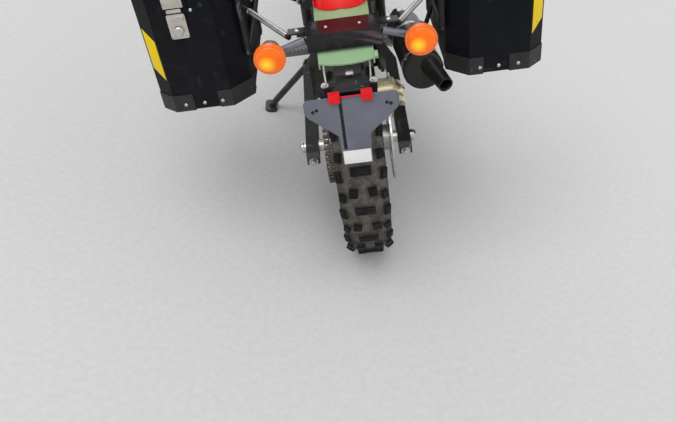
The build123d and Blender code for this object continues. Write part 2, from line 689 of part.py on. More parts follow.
SKID_HALF = 104.0
SKID_SHEET = 4.0
skid_top = CRADLE_Z - FRAME_R - FIT
with BuildPart() as skid_plate:
    with BuildSketch(beside(-SKID_HALF)):
        with BuildLine():
            edge = Polyline((560, skid_top), (952.5, skid_top), (986.7, 372))
            offset(edge, SKID_SHEET, side=Side.RIGHT)
        make_face()
    extrude(amount=2 * SKID_HALF)
skid_plate.part.label = "skid_plate"

# Fuel tank: sections across the machine. Columns: y, low z, high z, half width low, belt z, half width at
# the belt, half width of the crown
TANK_SECTIONS = (
    (590, 800, 935, 88, 850, 104, 60),
    (760, 812, 1005, 120, 880, 146, 86),
    (910, 812, 1020, 124, 890, 156, 90),
    (1006, 838, 976, 74, 884, 98, 56),
)
with BuildPart() as fuel_tank:
    for y, low, high, half_low, belt, half_belt, half_crown in TANK_SECTIONS:
        with BuildSketch(across(y)):
            with BuildLine():
                Line((-half_low, low), (half_low, low))
                ThreePointArc((half_low, low), (half_belt, belt), (half_crown, high - 16))
                ThreePointArc((half_crown, high - 16), (0, high), (-half_crown, high - 16))
                ThreePointArc((-half_crown, high - 16), (-half_belt, belt), (-half_low, low))
            make_face()
    loft()
    with BuildSketch(Plane.XY.offset(990)):
        with Locations((0, 880)):
            Circle(38)
    extrude(amount=38)
    with BuildSketch(across(1100)):
        with Locations((0, 832)):
            RectangleRounded(2 * TUNNEL_HALF, 160, 20)
    extrude(amount=600, mode=Mode.SUBTRACT)
fuel_tank.part.label = "fuel_tank"

# Seat: the same kind of sections. Columns: y, high z, half width low, half width high
SEAT_SECTIONS = (
    (-44, 888, 96, 104),
    (90, 896, 104, 118),
    (270, 876, 110, 128),
    (584, 884, 74, 84),
)
with BuildPart() as seat:
    for y, high, half_low, half_high in SEAT_SECTIONS:
        low = rail_height(y) + RAIL_R + 1.5 * FIT
        with BuildSketch(across(y)):
            with BuildLine():
                Polyline((-half_high, high - 22), (-half_low, low), (half_low, low), (half_high, high - 22))
                ThreePointArc((half_high, high - 22), (0, high), (-half_high, high - 22))
            make_face()
    loft(ruled=True)
seat.part.label = "seat"

PANEL_X = SUBFRAME_X + 17 + RAIL_R + FIT
with BuildPart() as side_panels:
    with BuildSketch(beside(PANEL_X)):
        with BuildLine():
            Polyline(
                (-60, 780), (-20, 754), (300, 700), (400, 668), (450, 690), (474, 780), (250, 776), close=True,
            )
        make_face()
    extrude(amount=4)
    mirror(about=Plane.YZ)
side_panels.part.label = "side_panels"

# Rear fender: a bent sheet from under the seat to its tongue. Rows: y, z of its upper face
FENDER_LINE = ((40, 814), (-195, 806), (-227, 795), (-292, 757), (-326, 741.2))
FENDER_TURN = 14.0         # depth of the tail's turned-down sides
with BuildPart() as rear_fender:
    with BuildSketch(beside(-FENDER_HALF)):
        with BuildLine():
            edge = Polyline(*FENDER_LINE)
            offset(edge, FENDER_SHEET, side=Side.LEFT)
        make_face()
    extrude(amount=2 * FENDER_HALF)
    tail_line = FENDER_LINE[1:]
    for side in (LEFT, RIGHT):
        with BuildSketch(beside(side * (FENDER_HALF - FENDER_SHEET))):
            Polygon(
                *[(y, z - 1) for y, z in tail_line], *[(y, z - FENDER_TURN) for y, z in reversed(tail_line)],
                align=None,
            )
        extrude(amount=side * FENDER_SHEET)
    with BuildSketch(Plane.XY.offset(700)):
        with BuildLine():
            Polyline((-70, -313), (-70, -340), (70, -340), (70, -313))
            ThreePointArc((70, -313), (0, -325), (-70, -313))
        make_face()
    extrude(amount=80, mode=Mode.SUBTRACT)
rear_fender.part.label = "rear_fender"

INNER_FENDER_LINE = ((-180, 803.1), (60, 768), (250, 700), (372, 560), (384, 470))
with BuildPart() as inner_fender:
    with BuildSketch(beside(-FENDER_HALF + 2)):
        with BuildLine():
            edge = Polyline(*INNER_FENDER_LINE)
            offset(edge, FENDER_SHEET, side=Side.RIGHT)
        make_face()
    extrude(amount=2 * FENDER_HALF - 4)
inner_fender.part.label = "inner_fender"

# Tail lamp over the fender
with BuildPart() as tail_light:
    with BuildSketch(Plane.XY.offset(808.3)):
        with BuildLine():
            Line((-60, -150), (60, -150))
            ThreePointArc((60, -150), (52, -180), (0, -194))
            ThreePointArc((0, -194), (-52, -180), (-60, -150))
        make_face()
    extrude(amount=61)
tail_light.part.label = "tail_light"

# Tail bar: a bent channel across the fender
BAR_TOP_Z = 801.0
BAR_DEEP = 38.0
BAR_FRONT_Y = -227.0
BAR_REAR_Y = -292.0
BAR_SHEET = 4.0
with BuildPart() as tail_bar:
    with BuildSketch(beside(-TAIL_BAR_HALF)):
        with BuildLine():
            Polyline(
                (BAR_FRONT_Y, BAR_TOP_Z), (BAR_REAR_Y, BAR_TOP_Z), (BAR_REAR_Y - 4, BAR_TOP_Z - BAR_DEEP),
                (BAR_REAR_Y, BAR_TOP_Z - BAR_DEEP), (BAR_REAR_Y + BAR_SHEET, BAR_TOP_Z - BAR_SHEET),
                (BAR_FRONT_Y, BAR_TOP_Z - BAR_SHEET), close=True,
            )
        make_face()
    extrude(amount=2 * TAIL_BAR_HALF)
    for side in (LEFT, RIGHT):
        with BuildSketch(Plane.XY.offset(BAR_TOP_Z - BAR_SHEET)):
            with Locations((side * 98, -262)):
                Rectangle(40, 26)
        extrude(amount=BAR_SHEET)
        with BuildSketch(beside(side * (TAIL_BAR_HALF - 3))):
            Polygon(
                (BAR_REAR_Y, BAR_TOP_Z - 2), (BAR_REAR_Y + 36, BAR_TOP_Z - 2), (BAR_REAR_Y, BAR_TOP_Z - BAR_DEEP),
                align=None,
            )
        extrude(amount=side * 3)
tail_bar.part.label = "tail_bar"

# Turn signals: a round lens on a stalk
REAR_SIGNAL = Vector(161, -298, 765)
SIGNAL_R = 33.0
SIGNAL_DEEP = 42.0
with BuildPart() as rear_signals:
    for side in (LEFT, RIGHT):
        centre = Vector(side * REAR_SIGNAL.X, REAR_SIGNAL.Y, REAR_SIGNAL.Z)
        lamp = Plane(origin=centre, x_dir=(1, 0, 0), z_dir=(0, -1, 0))
        with BuildSketch(lamp.offset(-SIGNAL_DEEP)):
            Circle(SIGNAL_R - 13)
        with BuildSketch(lamp):
            Circle(SIGNAL_R)
        loft()
        with BuildSketch(lamp):
            Circle(SIGNAL_R)
        extrude(amount=12)
        root = Vector(side * (TAIL_BAR_HALF + 3), BAR_REAR_Y + 10, BAR_TOP_Z - 14)
        tip = Vector(side * (REAR_SIGNAL.X - 18), REAR_SIGNAL.Y + 22, REAR_SIGNAL.Z)
        with BuildSketch(Plane(origin=root, z_dir=tip - root)):
            Circle(8)
        extrude(amount=(tip - root).length)
rear_signals.part.label = "rear_signals"

# Number plate bracket: a T-shaped plate hung below the fender on a bent arm
PLATE_Y = -436.0
PLATE_TOP_Z = 730.0
PLATE_TILT = 9.0           # degrees that the plate's foot stands back
PLATE_SHEET = 3.0
PLATE = Plane(
    origin=(0, PLATE_Y, PLATE_TOP_Z), x_dir=(1, 0, 0),
    z_dir=(0, -cos(radians(PLATE_TILT)), sin(radians(PLATE_TILT))),
)
PLATE_HOLE_R = 3.0
PLATE_HOLE_X = 79.5
PLATE_HOLE_DROP = 26.0
with BuildPart() as plate_bracket:
    with BuildSketch(PLATE):
        with BuildLine():
            right_edge = [(66, 0), (98, -18), (98, -34), (70, -48), (34, -94), (31, -152)]
            Polyline((0, 0), *right_edge, *[(-x, z) for x, z in reversed(right_edge)], (0, 0))
        make_face()
        with Locations((-PLATE_HOLE_X, -PLATE_HOLE_DROP), (PLATE_HOLE_X, -PLATE_HOLE_DROP)):
            Circle(PLATE_HOLE_R, mode=Mode.SUBTRACT)
        with Locations((-22, -60)):
            Rectangle(3, 112, mode=Mode.SUBTRACT)
    extrude(amount=-PLATE_SHEET)
    with BuildSketch(beside(-29)):
        with BuildLine():
            edge = Polyline((-440, 690), (-412, 716), (-345, 728), (-318, 740.6), (-292, 752.8), (-240, 783.2))
            offset(edge, PLATE_SHEET, side=Side.RIGHT)
        make_face()
    extrude(amount=58)
plate_bracket.part.label = "plate_bracket"

with BuildPart() as plate_reflectors:
    with BuildSketch(PLATE):
        with Locations((-33, 1), (33, 1)):
            Rectangle(23, 23)
    extrude(amount=7)
plate_reflectors.part.label = "plate_reflectors"

# Luggage rack behind the seat, with a plate for a top box
RACK_Z = 905.0
RACK_PLATE_Y = -118.0
RACK_BOLT_R = 4.25
RACK_BOLT_CIRCLE = 56.0
rack_tubes = tubes(both_sides([
    ([(SUBFRAME_X, -98, rail_height(-98)), (92, -92, 850), (104, -72, RACK_Z - 13.5), (96, -160, RACK_Z - 13.5),
      (0, -176, RACK_Z - 13.5)], 8, 16),
    ([(SUBFRAME_X, -150, rail_height(-150)), (84, -152, 862), (92, -120, RACK_Z - 13.5)], 7, 10),
]))
with BuildPart() as luggage_rack:
    add(rack_tubes)
    add(subframe.part, mode=Mode.SUBTRACT)
    with BuildSketch(Plane.XY.offset(RACK_Z - 6)):
        with Locations((0, RACK_PLATE_Y)):
            RectangleRounded(196, 126, 24)
            with PolarLocations(RACK_BOLT_CIRCLE, 4, start_angle=45):
                Circle(RACK_BOLT_R, mode=Mode.SUBTRACT)
    extrude(amount=6)
luggage_rack.part.label = "luggage_rack"

# Pannier racks: a loop against each box, with brace rods to the tail
LOOP_X = BOX_INNER_X - 8.5
loop_rows = []
for side in (LEFT, RIGHT):
    loop_rows += [
        ([(side * LOOP_X, -110, 690), (side * LOOP_X, -110, 835), (side * LOOP_X, 262, 835),
          (side * LOOP_X, 262, 690), (side * LOOP_X, -109, 690)], 8, 24),
        ([(side * LOOP_X, 262, 785), (side * SUBFRAME_X, 262, rail_height(262) - 4)], 8, 10),
        ([(side * LOOP_X, -60, 835), (side * 150, -64, 834), (side * SUBFRAME_X, -64, rail_height(-64))], 8, 30),
        ([(side * LOOP_X, 262, 700), (side * 196, 360, 640), (side * 140, 470, 560), (side * SPAR_X, 560, 500)],
         8, 50),
        ([(side * LOOP_X, -100, 802), (side * 207, -125, 797), (side * 116, -268, 790.4)], 6, 14),
    ]
loop_rows.append(([(LOOP_X, 40, 690), (200, 40, 600)], 6, 10))
pannier_rack_tubes = tubes(loop_rows)
with BuildPart() as pannier_racks:
    add(pannier_rack_tubes)
    add(main_frame.part, mode=Mode.SUBTRACT)
    add(subframe.part, mode=Mode.SUBTRACT)
    add(luggage_rack.part, mode=Mode.SUBTRACT)
    add(muffler.part, mode=Mode.SUBTRACT)
pannier_racks.part.label = "pannier_racks"


# Panniers: folded sheet boxes with chamfered corners, each with a lid hinged at its front edge
def box_outline(side):
    """The plan of a box: rear inner, rear outer, front outer and front inner corners cut off."""
    rows = [
        (BOX_INNER_X, BOX_REAR_Y + 45), (BOX_INNER_X + 50, BOX_REAR_Y), (BOX_OUTER_X - 35, BOX_REAR_Y),
        (BOX_OUTER_X, BOX_REAR_Y + 30), (BOX_OUTER_X, BOX_FRONT_Y - 30), (BOX_OUTER_X - 35, BOX_FRONT_Y),
        (BOX_INNER_X + 50, BOX_FRONT_Y), (BOX_INNER_X, BOX_FRONT_Y - 45),
    ]
    return [(side * x, y) for x, y in rows]


HINGE_Y = BOX_FRONT_Y + HINGE_LEAD
HINGE_X = (BOX_INNER_X + BOX_OUTER_X) / 2
KNUCKLE = 34.0


def make_box(side):
    """An open box with two hinge knuckles and the pin between them."""
    with BuildPart() as box:
        with BuildSketch(Plane.XY.offset(BOX_LOW_Z)):
            Polygon(*box_outline(side), align=None)
        extrude(amount=SEAM_Z - BOX_LOW_Z)
        with BuildSketch(Plane.XY.offset(BOX_LOW_Z + SHEET)):
            with BuildLine():
                Polyline(*box_outline(side), close=True)
                offset(amount=-SHEET, mode=Mode.REPLACE)
            make_face()
        extrude(amount=SEAM_Z - BOX_LOW_Z, mode=Mode.SUBTRACT)
        for x in (-KNUCKLE, KNUCKLE):
            with BuildSketch(beside(side * HINGE_X + x - KNUCKLE / 2)):
                with Locations((HINGE_Y, SEAM_Z)):
                    Circle(HINGE_R)
                with Locations((BOX_FRONT_Y + HINGE_LEAD / 2, SEAM_Z - 9)):
                    Rectangle(HINGE_LEAD, 14)
            extrude(amount=KNUCKLE - SEAM_GAP)
        with BuildSketch(beside(side * HINGE_X - 1.5 * KNUCKLE)):
            with Locations((HINGE_Y, SEAM_Z)):
                Circle(HINGE_PIN_R)
        extrude(amount=3 * KNUCKLE - SEAM_GAP)
    return box


def make_lid(side):
    """A shallow lid with the middle hinge knuckle and the upper half of the latch."""
    with BuildPart() as lid:
        with BuildSketch(Plane.XY.offset(SEAM_Z + SEAM_GAP)):
            Polygon(*box_outline(side), align=None)
        extrude(amount=LID_TOP_Z - SEAM_Z - SEAM_GAP)
        chamfer(lid.faces().sort_by(Axis.Z)[-1].edges(), LID_CHAMFER)
        with BuildSketch(Plane.XY.offset(SEAM_Z)):
            with BuildLine():
                Polyline(*box_outline(side), close=True)
                offset(amount=-SHEET, mode=Mode.REPLACE)
            make_face()
        extrude(amount=LID_TOP_Z - SHEET - SEAM_Z, mode=Mode.SUBTRACT)
        with BuildSketch(beside(side * HINGE_X - KNUCKLE / 2 + SEAM_GAP)):
            with Locations((HINGE_Y, SEAM_Z)):
                Circle(HINGE_R)
            with Locations((BOX_FRONT_Y + HINGE_LEAD / 2 - 0.5, SEAM_Z + 8)):
                Rectangle(HINGE_LEAD + 1, 14)
            with Locations((HINGE_Y, SEAM_Z)):
                Circle(HINGE_PIN_R + SEAM_GAP, mode=Mode.SUBTRACT)
        extrude(amount=KNUCKLE - 2 * SEAM_GAP)
        with BuildSketch(across(BOX_REAR_Y - SEAM_GAP)):
            with Locations((side * LATCH_X, (LATCH_SPLIT_Z + LATCH_TOP_Z) / 2)):
                Rectangle(60, LATCH_TOP_Z - LATCH_SPLIT_Z)
        extrude(amount=3)
        with BuildSketch(across(BOX_REAR_Y + 1)):
            with Locations((side * LATCH_X, (SEAM_Z + 4 + LATCH_TOP_Z) / 2)):
                Rectangle(60, LATCH_TOP_Z - SEAM_Z - 4)
        extrude(amount=3)
    return lid


LATCH_X = 372.0
LATCH_LOW_Z = 767.0
LATCH_SPLIT_Z = 830.0
LATCH_TOP_Z = 905.0
pannier_box_right, pannier_box_left = make_box(RIGHT), make_box(LEFT)
pannier_lid_right, pannier_lid_left = make_lid(RIGHT), make_lid(LEFT)
pannier_box_right.part.label = "pannier_box_right"
pannier_box_left.part.label = "pannier_box_left"
pannier_lid_right.part.label = "pannier_lid_right"
pannier_lid_left.part.label = "pannier_lid_left"

CORNER_HIGH = 45.0
CORNER_THICK = 2.0
with BuildPart() as pannier_corners:
    with BuildSketch(Plane.XY.offset(BOX_LOW_Z - CORNER_THICK)):
        with BuildLine():
            Polyline(*box_outline(RIGHT), close=True)
            offset(amount=CORNER_THICK, mode=Mode.REPLACE, kind=Kind.INTERSECTION)
        make_face()
    extrude(amount=CORNER_HIGH)
    with BuildSketch(Plane.XY.offset(BOX_LOW_Z)):
        Polygon(*box_outline(RIGHT), align=None)
    extrude(amount=CORNER_HIGH, mode=Mode.SUBTRACT)
    with BuildSketch(Plane.XY.offset(BOX_LOW_Z - CORNER_THICK)):
        with Locations((HINGE_X, (BOX_REAR_Y + BOX_FRONT_Y) / 2)):
            Rectangle(BOX_OUTER_X - BOX_INNER_X - 166, 600)
            Rectangle(400, BOX_FRONT_Y - BOX_REAR_Y - 150)
    extrude(amount=CORNER_HIGH, mode=Mode.SUBTRACT)
    mirror(about=Plane.YZ)
pannier_corners.part.label = "pannier_corners"

with BuildPart() as pannier_latches:
    with BuildSketch(across(BOX_REAR_Y)):
        with Locations((LATCH_X, (LATCH_LOW_Z + LATCH_SPLIT_Z) / 2 - 2)):
            RectangleRounded(42, LATCH_SPLIT_Z - LATCH_LOW_Z - 4, 5)
    extrude(amount=7)
    with BuildSketch(across(BOX_REAR_Y - 7)):
        with Locations((LATCH_X, 786)):
            Circle(11)
    extrude(amount=7)
    mirror(about=Plane.YZ)
pannier_latches.part.label = "pannier_latches"

def arm_top(y):
    """Height of the swingarm's upper face."""
    rise = (PIVOT_Z - REAR_AXLE_Z) / PIVOT_Y
    return REAR_AXLE_Z + y * rise + ARM_HEIGHT / 2 * hypot(1, rise)


# Chain guard over the upper run, rear caliper on its bracket
with BuildPart() as chain_guard:
    with BuildSketch(beside(CHAIN_X - 16)):
        with BuildLine():
            edge = Polyline((40, 452), (250, 462), (430, 464))
            offset(edge, 3, side=Side.LEFT)
        make_face()
    extrude(amount=26)
    with BuildSketch(beside(CHAIN_X - 17)):
        Polygon((40, 440), (40, 455), (250, 465), (430, 467), (430, 450), (250, 440), align=None)
    extrude(amount=3)
    with BuildSketch(beside(-ARM_INNER - 6)):
        Polygon((200, arm_top(200) + FIT), (240, arm_top(240) + FIT), (236, 462), (204, 460), align=None)
    extrude(amount=ARM_INNER + 6 - 98)
chain_guard.part.label = "chain_guard"

with BuildPart() as rear_caliper:
    with BuildSketch(beside(REAR_DISC_X - 24)):
        with Locations((30, 454), (56, 450), (84, 428)):
            Circle(26)
        make_hull()
    extrude(amount=50)
    fillet(rear_caliper.faces().sort_by(Axis.X)[-1].edges(), 5)
    with BuildSketch(beside(REAR_DISC_X + 20)):
        with Locations((36, 452), (76, 434)):
            Circle(17)
    extrude(amount=11)
    with BuildSketch(beside(REAR_DISC_X - DISC_THICK / 2 - MOVE_GAP)):
        with Locations((0, REAR_AXLE_Z)):
            Circle(REAR_DISC_R + MOVE_GAP)
    extrude(amount=DISC_THICK + 2 * MOVE_GAP, mode=Mode.SUBTRACT)
    with BuildSketch(beside(REAR_DISC_X + 14)):
        Polygon((60, 348), (124, 352), (120, 380), (96, 420), (60, 420), align=None)
    extrude(amount=ARM_INNER - FIT - REAR_DISC_X - 14)
rear_caliper.part.label = "rear_caliper"

# Foot pegs with the gear lever on the left and the brake lever on the right
foot_levers = tubes([
    ([(-124, 548, 342), (-140, 600, 334), (-141, 690, 338)], 5, 20),
    ([(-137, 685, 338), (-178, 685, 338)], 7, 10),
    ([(124, 540, 340), (150, 590, 300), (197, 650, 292), (198, 708, 304)], 6, 20),
    ([(182, 704, 303), (216, 704, 303)], 8, 10),
])
with BuildPart() as foot_controls:
    add(foot_levers)
    for side in (LEFT, RIGHT):
        with BuildSketch(beside(side * (116 + FIT))):
            with Locations((540, 352)):
                Rectangle(46, 18)
        extrude(amount=side * 112)
        with BuildSketch(beside(side * (116 + FIT))):
            Polygon((520, 330), (560, 330), (570, 404), (540, 404), align=None)
        extrude(amount=side * 8)
foot_controls.part.label = "foot_controls"

# Fork
COWL_LEAD = 128.0
cowl_back = forked(0, COWL_LEAD, 690)
with BuildPart() as fork_clamps:
    with BuildSketch(across(cowl_back.Y - FIT)):
        with Locations((-56, 1000), (56, 1000)):
            Circle(7)
    extrude(amount=cowl_back.Y - FIT - 1138)
    for rise in (HEAD_LOW - CLAMP_GAP - CLAMP_THICK, HEAD_HIGH + CLAMP_GAP):
        with BuildSketch(STEER.offset(rise)):
            Circle(HEAD_R - 4)
            with Locations((FORK_LEG_X, FORK_OFFSET), (-FORK_LEG_X, FORK_OFFSET)):
                Circle(FORK_TUBE_R + 9)
            make_hull()
            with Locations((FORK_LEG_X, FORK_OFFSET), (-FORK_LEG_X, FORK_OFFSET)):
                Circle(FORK_TUBE_R + FIT, mode=Mode.SUBTRACT)
        extrude(amount=CLAMP_THICK)
    with BuildSketch(STEER.offset(HEAD_LOW - CLAMP_GAP - 5)):
        Circle(STEM_R)
    extrude(amount=HEAD_HIGH - HEAD_LOW + 2 * CLAMP_GAP + 10)
    clamp_top = HEAD_HIGH + CLAMP_GAP + CLAMP_THICK
    with BuildSketch(STEER.offset(clamp_top)):
        with Locations((38, FORK_OFFSET), (-38, FORK_OFFSET)):
            Circle(16)
    extrude(amount=BAR_RISE + 14)
    with BuildSketch(fork_side(-70)):
        with Locations((FORK_OFFSET, clamp_top + BAR_RISE)):
            Circle(BAR_R + FIT)
    extrude(amount=140, mode=Mode.SUBTRACT)
fork_clamps.part.label = "fork_clamps"

with BuildPart() as fork_tubes:
    with BuildSketch(STEER.offset(FORK_TUBE_LOW)):
        with Locations((FORK_LEG_X, FORK_OFFSET), (-FORK_LEG_X, FORK_OFFSET)):
            Circle(FORK_TUBE_R)
    extrude(amount=HEAD_HIGH + CLAMP_GAP + CLAMP_THICK + 10 - FORK_TUBE_LOW)
    with BuildSketch(STEER.offset(FORK_TUBE_LOW)):
        with Locations((FORK_LEG_X, FORK_OFFSET), (-FORK_LEG_X, FORK_OFFSET)):
            Circle(FORK_TUBE_R + 4)
    extrude(amount=20)
fork_tubes.part.label = "fork_tubes"

LUG_INNER = 80.0
LUG_OUTER = 120.0
with BuildPart() as fork_sliders:
    with BuildSketch(STEER.offset(-20)):
        with Locations((FORK_LEG_X, FORK_OFFSET), (-FORK_LEG_X, FORK_OFFSET)):
            Circle(SLIDER_R)
    extrude(amount=FORK_TUBE_LOW + 20)
    for side in (LEFT, RIGHT):
        with BuildSketch(fork_side(side * LUG_INNER)):
            with Locations((AXLE_OFFSET, 0)):
                Circle(25)
            with Locations((FORK_OFFSET, 30)):
                Circle(24)
            with Locations((FORK_OFFSET, -4)):
                Circle(22)
            make_hull()
        extrude(amount=side * (LUG_OUTER - LUG_INNER))
    with BuildSketch(fork_side(-LUG_OUTER)):
        with Locations((AXLE_OFFSET, 0)):
            Circle(AXLE_R + FIT)
    extrude(amount=2 * LUG_OUTER, mode=Mode.SUBTRACT)
fork_sliders.part.label = "fork_sliders"

front_hub_half = 58.0
with BuildPart() as front_axle:
    with BuildSketch(Plane(origin=(0, WHEELBASE, FRONT_AXLE_Z), x_dir=(1, 0, 0), z_dir=(0, -1, 0))):
        with BuildLine():
            left_end = FRONT_DISC_X - DISC_THICK / 2 - TURN_GAP
            Polyline(
                (-LUG_OUTER - 8, 0), (-LUG_OUTER - 8, 15), (-LUG_OUTER - FIT, 15), (-LUG_OUTER - FIT, AXLE_R),
                (-LUG_INNER + FIT, AXLE_R), (-LUG_INNER + FIT, 16), (left_end, 16), (left_end, AXLE_R),
                (front_hub_half + TURN_GAP, AXLE_R), (front_hub_half + TURN_GAP, 16), (LUG_INNER - FIT, 16),
                (LUG_INNER - FIT, AXLE_R), (LUG_OUTER + FIT, AXLE_R), (LUG_OUTER + FIT, 15), (LUG_OUTER + 8, 15),
                (LUG_OUTER + 8, 0), close=True,
            )
        make_face()
    revolve(axis=FRONT_AXLE)
front_axle.part.label = "front_axle"

with BuildPart() as front_caliper:
    with BuildSketch(fork_side(FRONT_DISC_X - 22)):
        Polygon((-20, 62), (14, 76), (14, 160), (-20, 178), (-58, 150), (-62, 92), align=None)
    extrude(amount=44)
    with BuildSketch(fork_side(FRONT_DISC_X - DISC_THICK / 2 - MOVE_GAP)):
        with Locations((AXLE_OFFSET, 0)):
            Circle(FRONT_DISC_R + MOVE_GAP)
    extrude(amount=DISC_THICK + 2 * MOVE_GAP, mode=Mode.SUBTRACT)
    with BuildSketch(fork_side(-FORK_LEG_X - 6)):
        with Locations(((FORK_OFFSET - SLIDER_R - FIT) / 2 - 6, 124)):
            Rectangle(FORK_OFFSET - SLIDER_R - FIT + 12, 34)
    extrude(amount=24)
front_caliper.part.label = "front_caliper"

bar_rise_at = clamp_top + BAR_RISE
BAR_BEND_X = 170.0


def bar_outer(side):
    """The bar's end."""
    return forked(side * BAR_HALF, -42, bar_rise_at + 62)


def bar_inner(side):
    """The bend from which the bar runs straight out to its end."""
    return forked(side * BAR_BEND_X, FORK_OFFSET - 8, bar_rise_at + 50)


def by_bar(side, inwards, lead, rise):
    """A point beside the straight part of the bar: its distance from the bar's end, then ahead and above."""
    along = (bar_inner(side) - bar_outer(side)).normalized()
    return bar_outer(side) + along * inwards + STEER.y_dir * lead + STEER.z_dir * rise


handlebar_tube = tubes([
    ([tuple(bar_outer(LEFT)), tuple(bar_inner(LEFT)), tuple(forked(-64, FORK_OFFSET, bar_rise_at)),
      tuple(forked(64, FORK_OFFSET, bar_rise_at)), tuple(bar_inner(RIGHT)), tuple(bar_outer(RIGHT))], BAR_R, 46),
])
with BuildPart() as handlebar:
    add(handlebar_tube)
handlebar.part.label = "handlebar"

SWITCH_R = 20.0
SWITCH_LONG = 44.0
SWITCH_MIDDLE = GRIP_LENGTH + SWITCH_LONG / 2
lever_rows = []
for side in (LEFT, RIGHT):
    lever_rows += [
        ([tuple(by_bar(side, SWITCH_MIDDLE, 0, 0)), tuple(by_bar(side, SWITCH_MIDDLE, 34, 2))], 10, 10),
        ([tuple(by_bar(side, SWITCH_MIDDLE + 6, 34, 2)), tuple(by_bar(side, GRIP_LENGTH - 12, 52, 0)),
          tuple(by_bar(side, 8, 44, -4))], 5.5, 40),
    ]
lever_rows.append((
    [tuple(by_bar(RIGHT, SWITCH_MIDDLE - 6, 26, 2)), tuple(by_bar(RIGHT, SWITCH_MIDDLE + 46, 26, 2))], 11, 10,
))
levers = tubes(lever_rows)
with BuildPart() as hand_controls:
    add(levers)
    with BuildSketch(Plane(origin=by_bar(RIGHT, SWITCH_MIDDLE + 14, 26, 8), x_dir=(1, 0, 0), z_dir=STEER.z_dir)):
        RectangleRounded(42, 28, 8)
    extrude(amount=24)
    for side in (LEFT, RIGHT):
        along_bar = Plane(origin=bar_outer(side), z_dir=bar_inner(side) - bar_outer(side))
        with BuildSketch(along_bar.offset(-4)):
            Circle(GRIP_R)
        extrude(amount=GRIP_LENGTH + 4)
        with BuildSketch(along_bar.offset(GRIP_LENGTH)):
            Circle(SWITCH_R)
        extrude(amount=SWITCH_LONG)
        with BuildSketch(along_bar):
            Circle(BAR_R + FIT)
        extrude(amount=GRIP_LENGTH + SWITCH_LONG + 60, mode=Mode.SUBTRACT)
hand_controls.part.label = "hand_controls"

MIRROR_HALF = 48.0
MIRROR_THICK = 16.0
mirror_rows = []
for side in (LEFT, RIGHT):
    mirror_rows.append((
        [tuple(by_bar(side, SWITCH_MIDDLE, 0, SWITCH_R - 3)), tuple(by_bar(side, SWITCH_MIDDLE, 4, 70)),
         tuple(by_bar(side, 92, 30, 148))], 5, 24,
    ))
mirror_stems = tubes(mirror_rows)
with BuildPart() as mirrors:
    add(mirror_stems)
    for side in (LEFT, RIGHT):
        head = by_bar(side, 86, 30, 158)
        with BuildSketch(Plane(origin=head, x_dir=(1, 0, 0), z_dir=(0, 1, 0))):
            with Locations((-22, 0), (22, 0)):
                Circle(MIRROR_HALF - 14)
            make_hull()
        extrude(amount=MIRROR_THICK)
    add(hand_controls.part, mode=Mode.SUBTRACT)
mirrors.part.label = "mirrors"

with BuildPart() as front_fender:
    with BuildSketch(fork_side(-FENDER_HALF)):
        with BuildLine():
            edge = ThreePointArc((-96, 500), (60, HEAD_LOW - CLAMP_GAP - CLAMP_THICK - 3.5), (300, 430))
            offset(edge, FENDER_SHEET, side=Side.LEFT)
        make_face()
    extrude(amount=2 * FENDER_HALF)
front_fender.part.label = "front_fender"

LAMP = Plane(origin=cowl_back, x_dir=(1, 0, 0), z_dir=(0, 1, 0))
LAMP_R = 62.0
COWL_DEEP = 84.0
COWL_WIDE = 180.0
COWL_HIGH = 210.0
COWL_UP = 14.0             # the cowl's middle above the lamp's
with BuildPart() as headlight:
    with BuildSketch(LAMP):
        Circle(LAMP_R)
    extrude(amount=COWL_DEEP - 6)
headlight.part.label = "headlight"

with BuildPart() as headlight_cowl:
    with BuildSketch(LAMP):
        with Locations((0, -COWL_UP)):
            RectangleRounded(COWL_WIDE, COWL_HIGH, 40)
    extrude(amount=COWL_DEEP)
    fillet(headlight_cowl.faces().sort_by(Axis.Y)[-1].edges(), 14)
    with BuildSketch(LAMP.offset(-1)):
        Circle(LAMP_R + FIT)
    extrude(amount=COWL_DEEP + 6, mode=Mode.SUBTRACT)
headlight_cowl.part.label = "headlight_cowl"

# Screen on the cowl's top, with the instruments behind it
cowl_top = cowl_back.Z + COWL_UP + COWL_HIGH / 2
screen_y = cowl_back.Y + 52
with BuildPart() as windscreen:
    with BuildSketch(beside(-82)):
        with BuildLine():
            edge = Polyline(
                (screen_y - 24, cowl_top + FIT), (screen_y, cowl_top + FIT), (screen_y - 26, cowl_top + 96),
                (screen_y - 44, cowl_top + 128),
            )
            offset(edge, 3, side=Side.LEFT)
        make_face()
    extrude(amount=164)
    with BuildSketch(across(screen_y + 20)):
        with BuildLine():
            Line((-60, cowl_top - 4), (60, cowl_top - 4))
            Line((60, cowl_top - 4), (80, cowl_top + 60))
            ThreePointArc((80, cowl_top + 60), (0, cowl_top + 124), (-80, cowl_top + 60))
            Line((-80, cowl_top + 60), (-60, cowl_top - 4))
        make_face()
    extrude(amount=100, mode=Mode.INTERSECT)
windscreen.part.label = "windscreen"

DASH_R = 36.0
dash = Plane(origin=(0, cowl_back.Y - DASH_R - FIT, cowl_top - 48), x_dir=(1, 0, 0), z_dir=(0, -0.5, 0.866))
with BuildPart() as instruments:
    with BuildSketch(dash):
        with Locations((-34, 0), (34, 0)):
            Circle(DASH_R)
        make_hull()
    extrude(amount=30)
    with BuildSketch(across(cowl_back.Y - FIT)):
        with Locations((0, cowl_top - 52)):
            Rectangle(60, 36)
    extrude(amount=40)
instruments.part.label = "instruments"

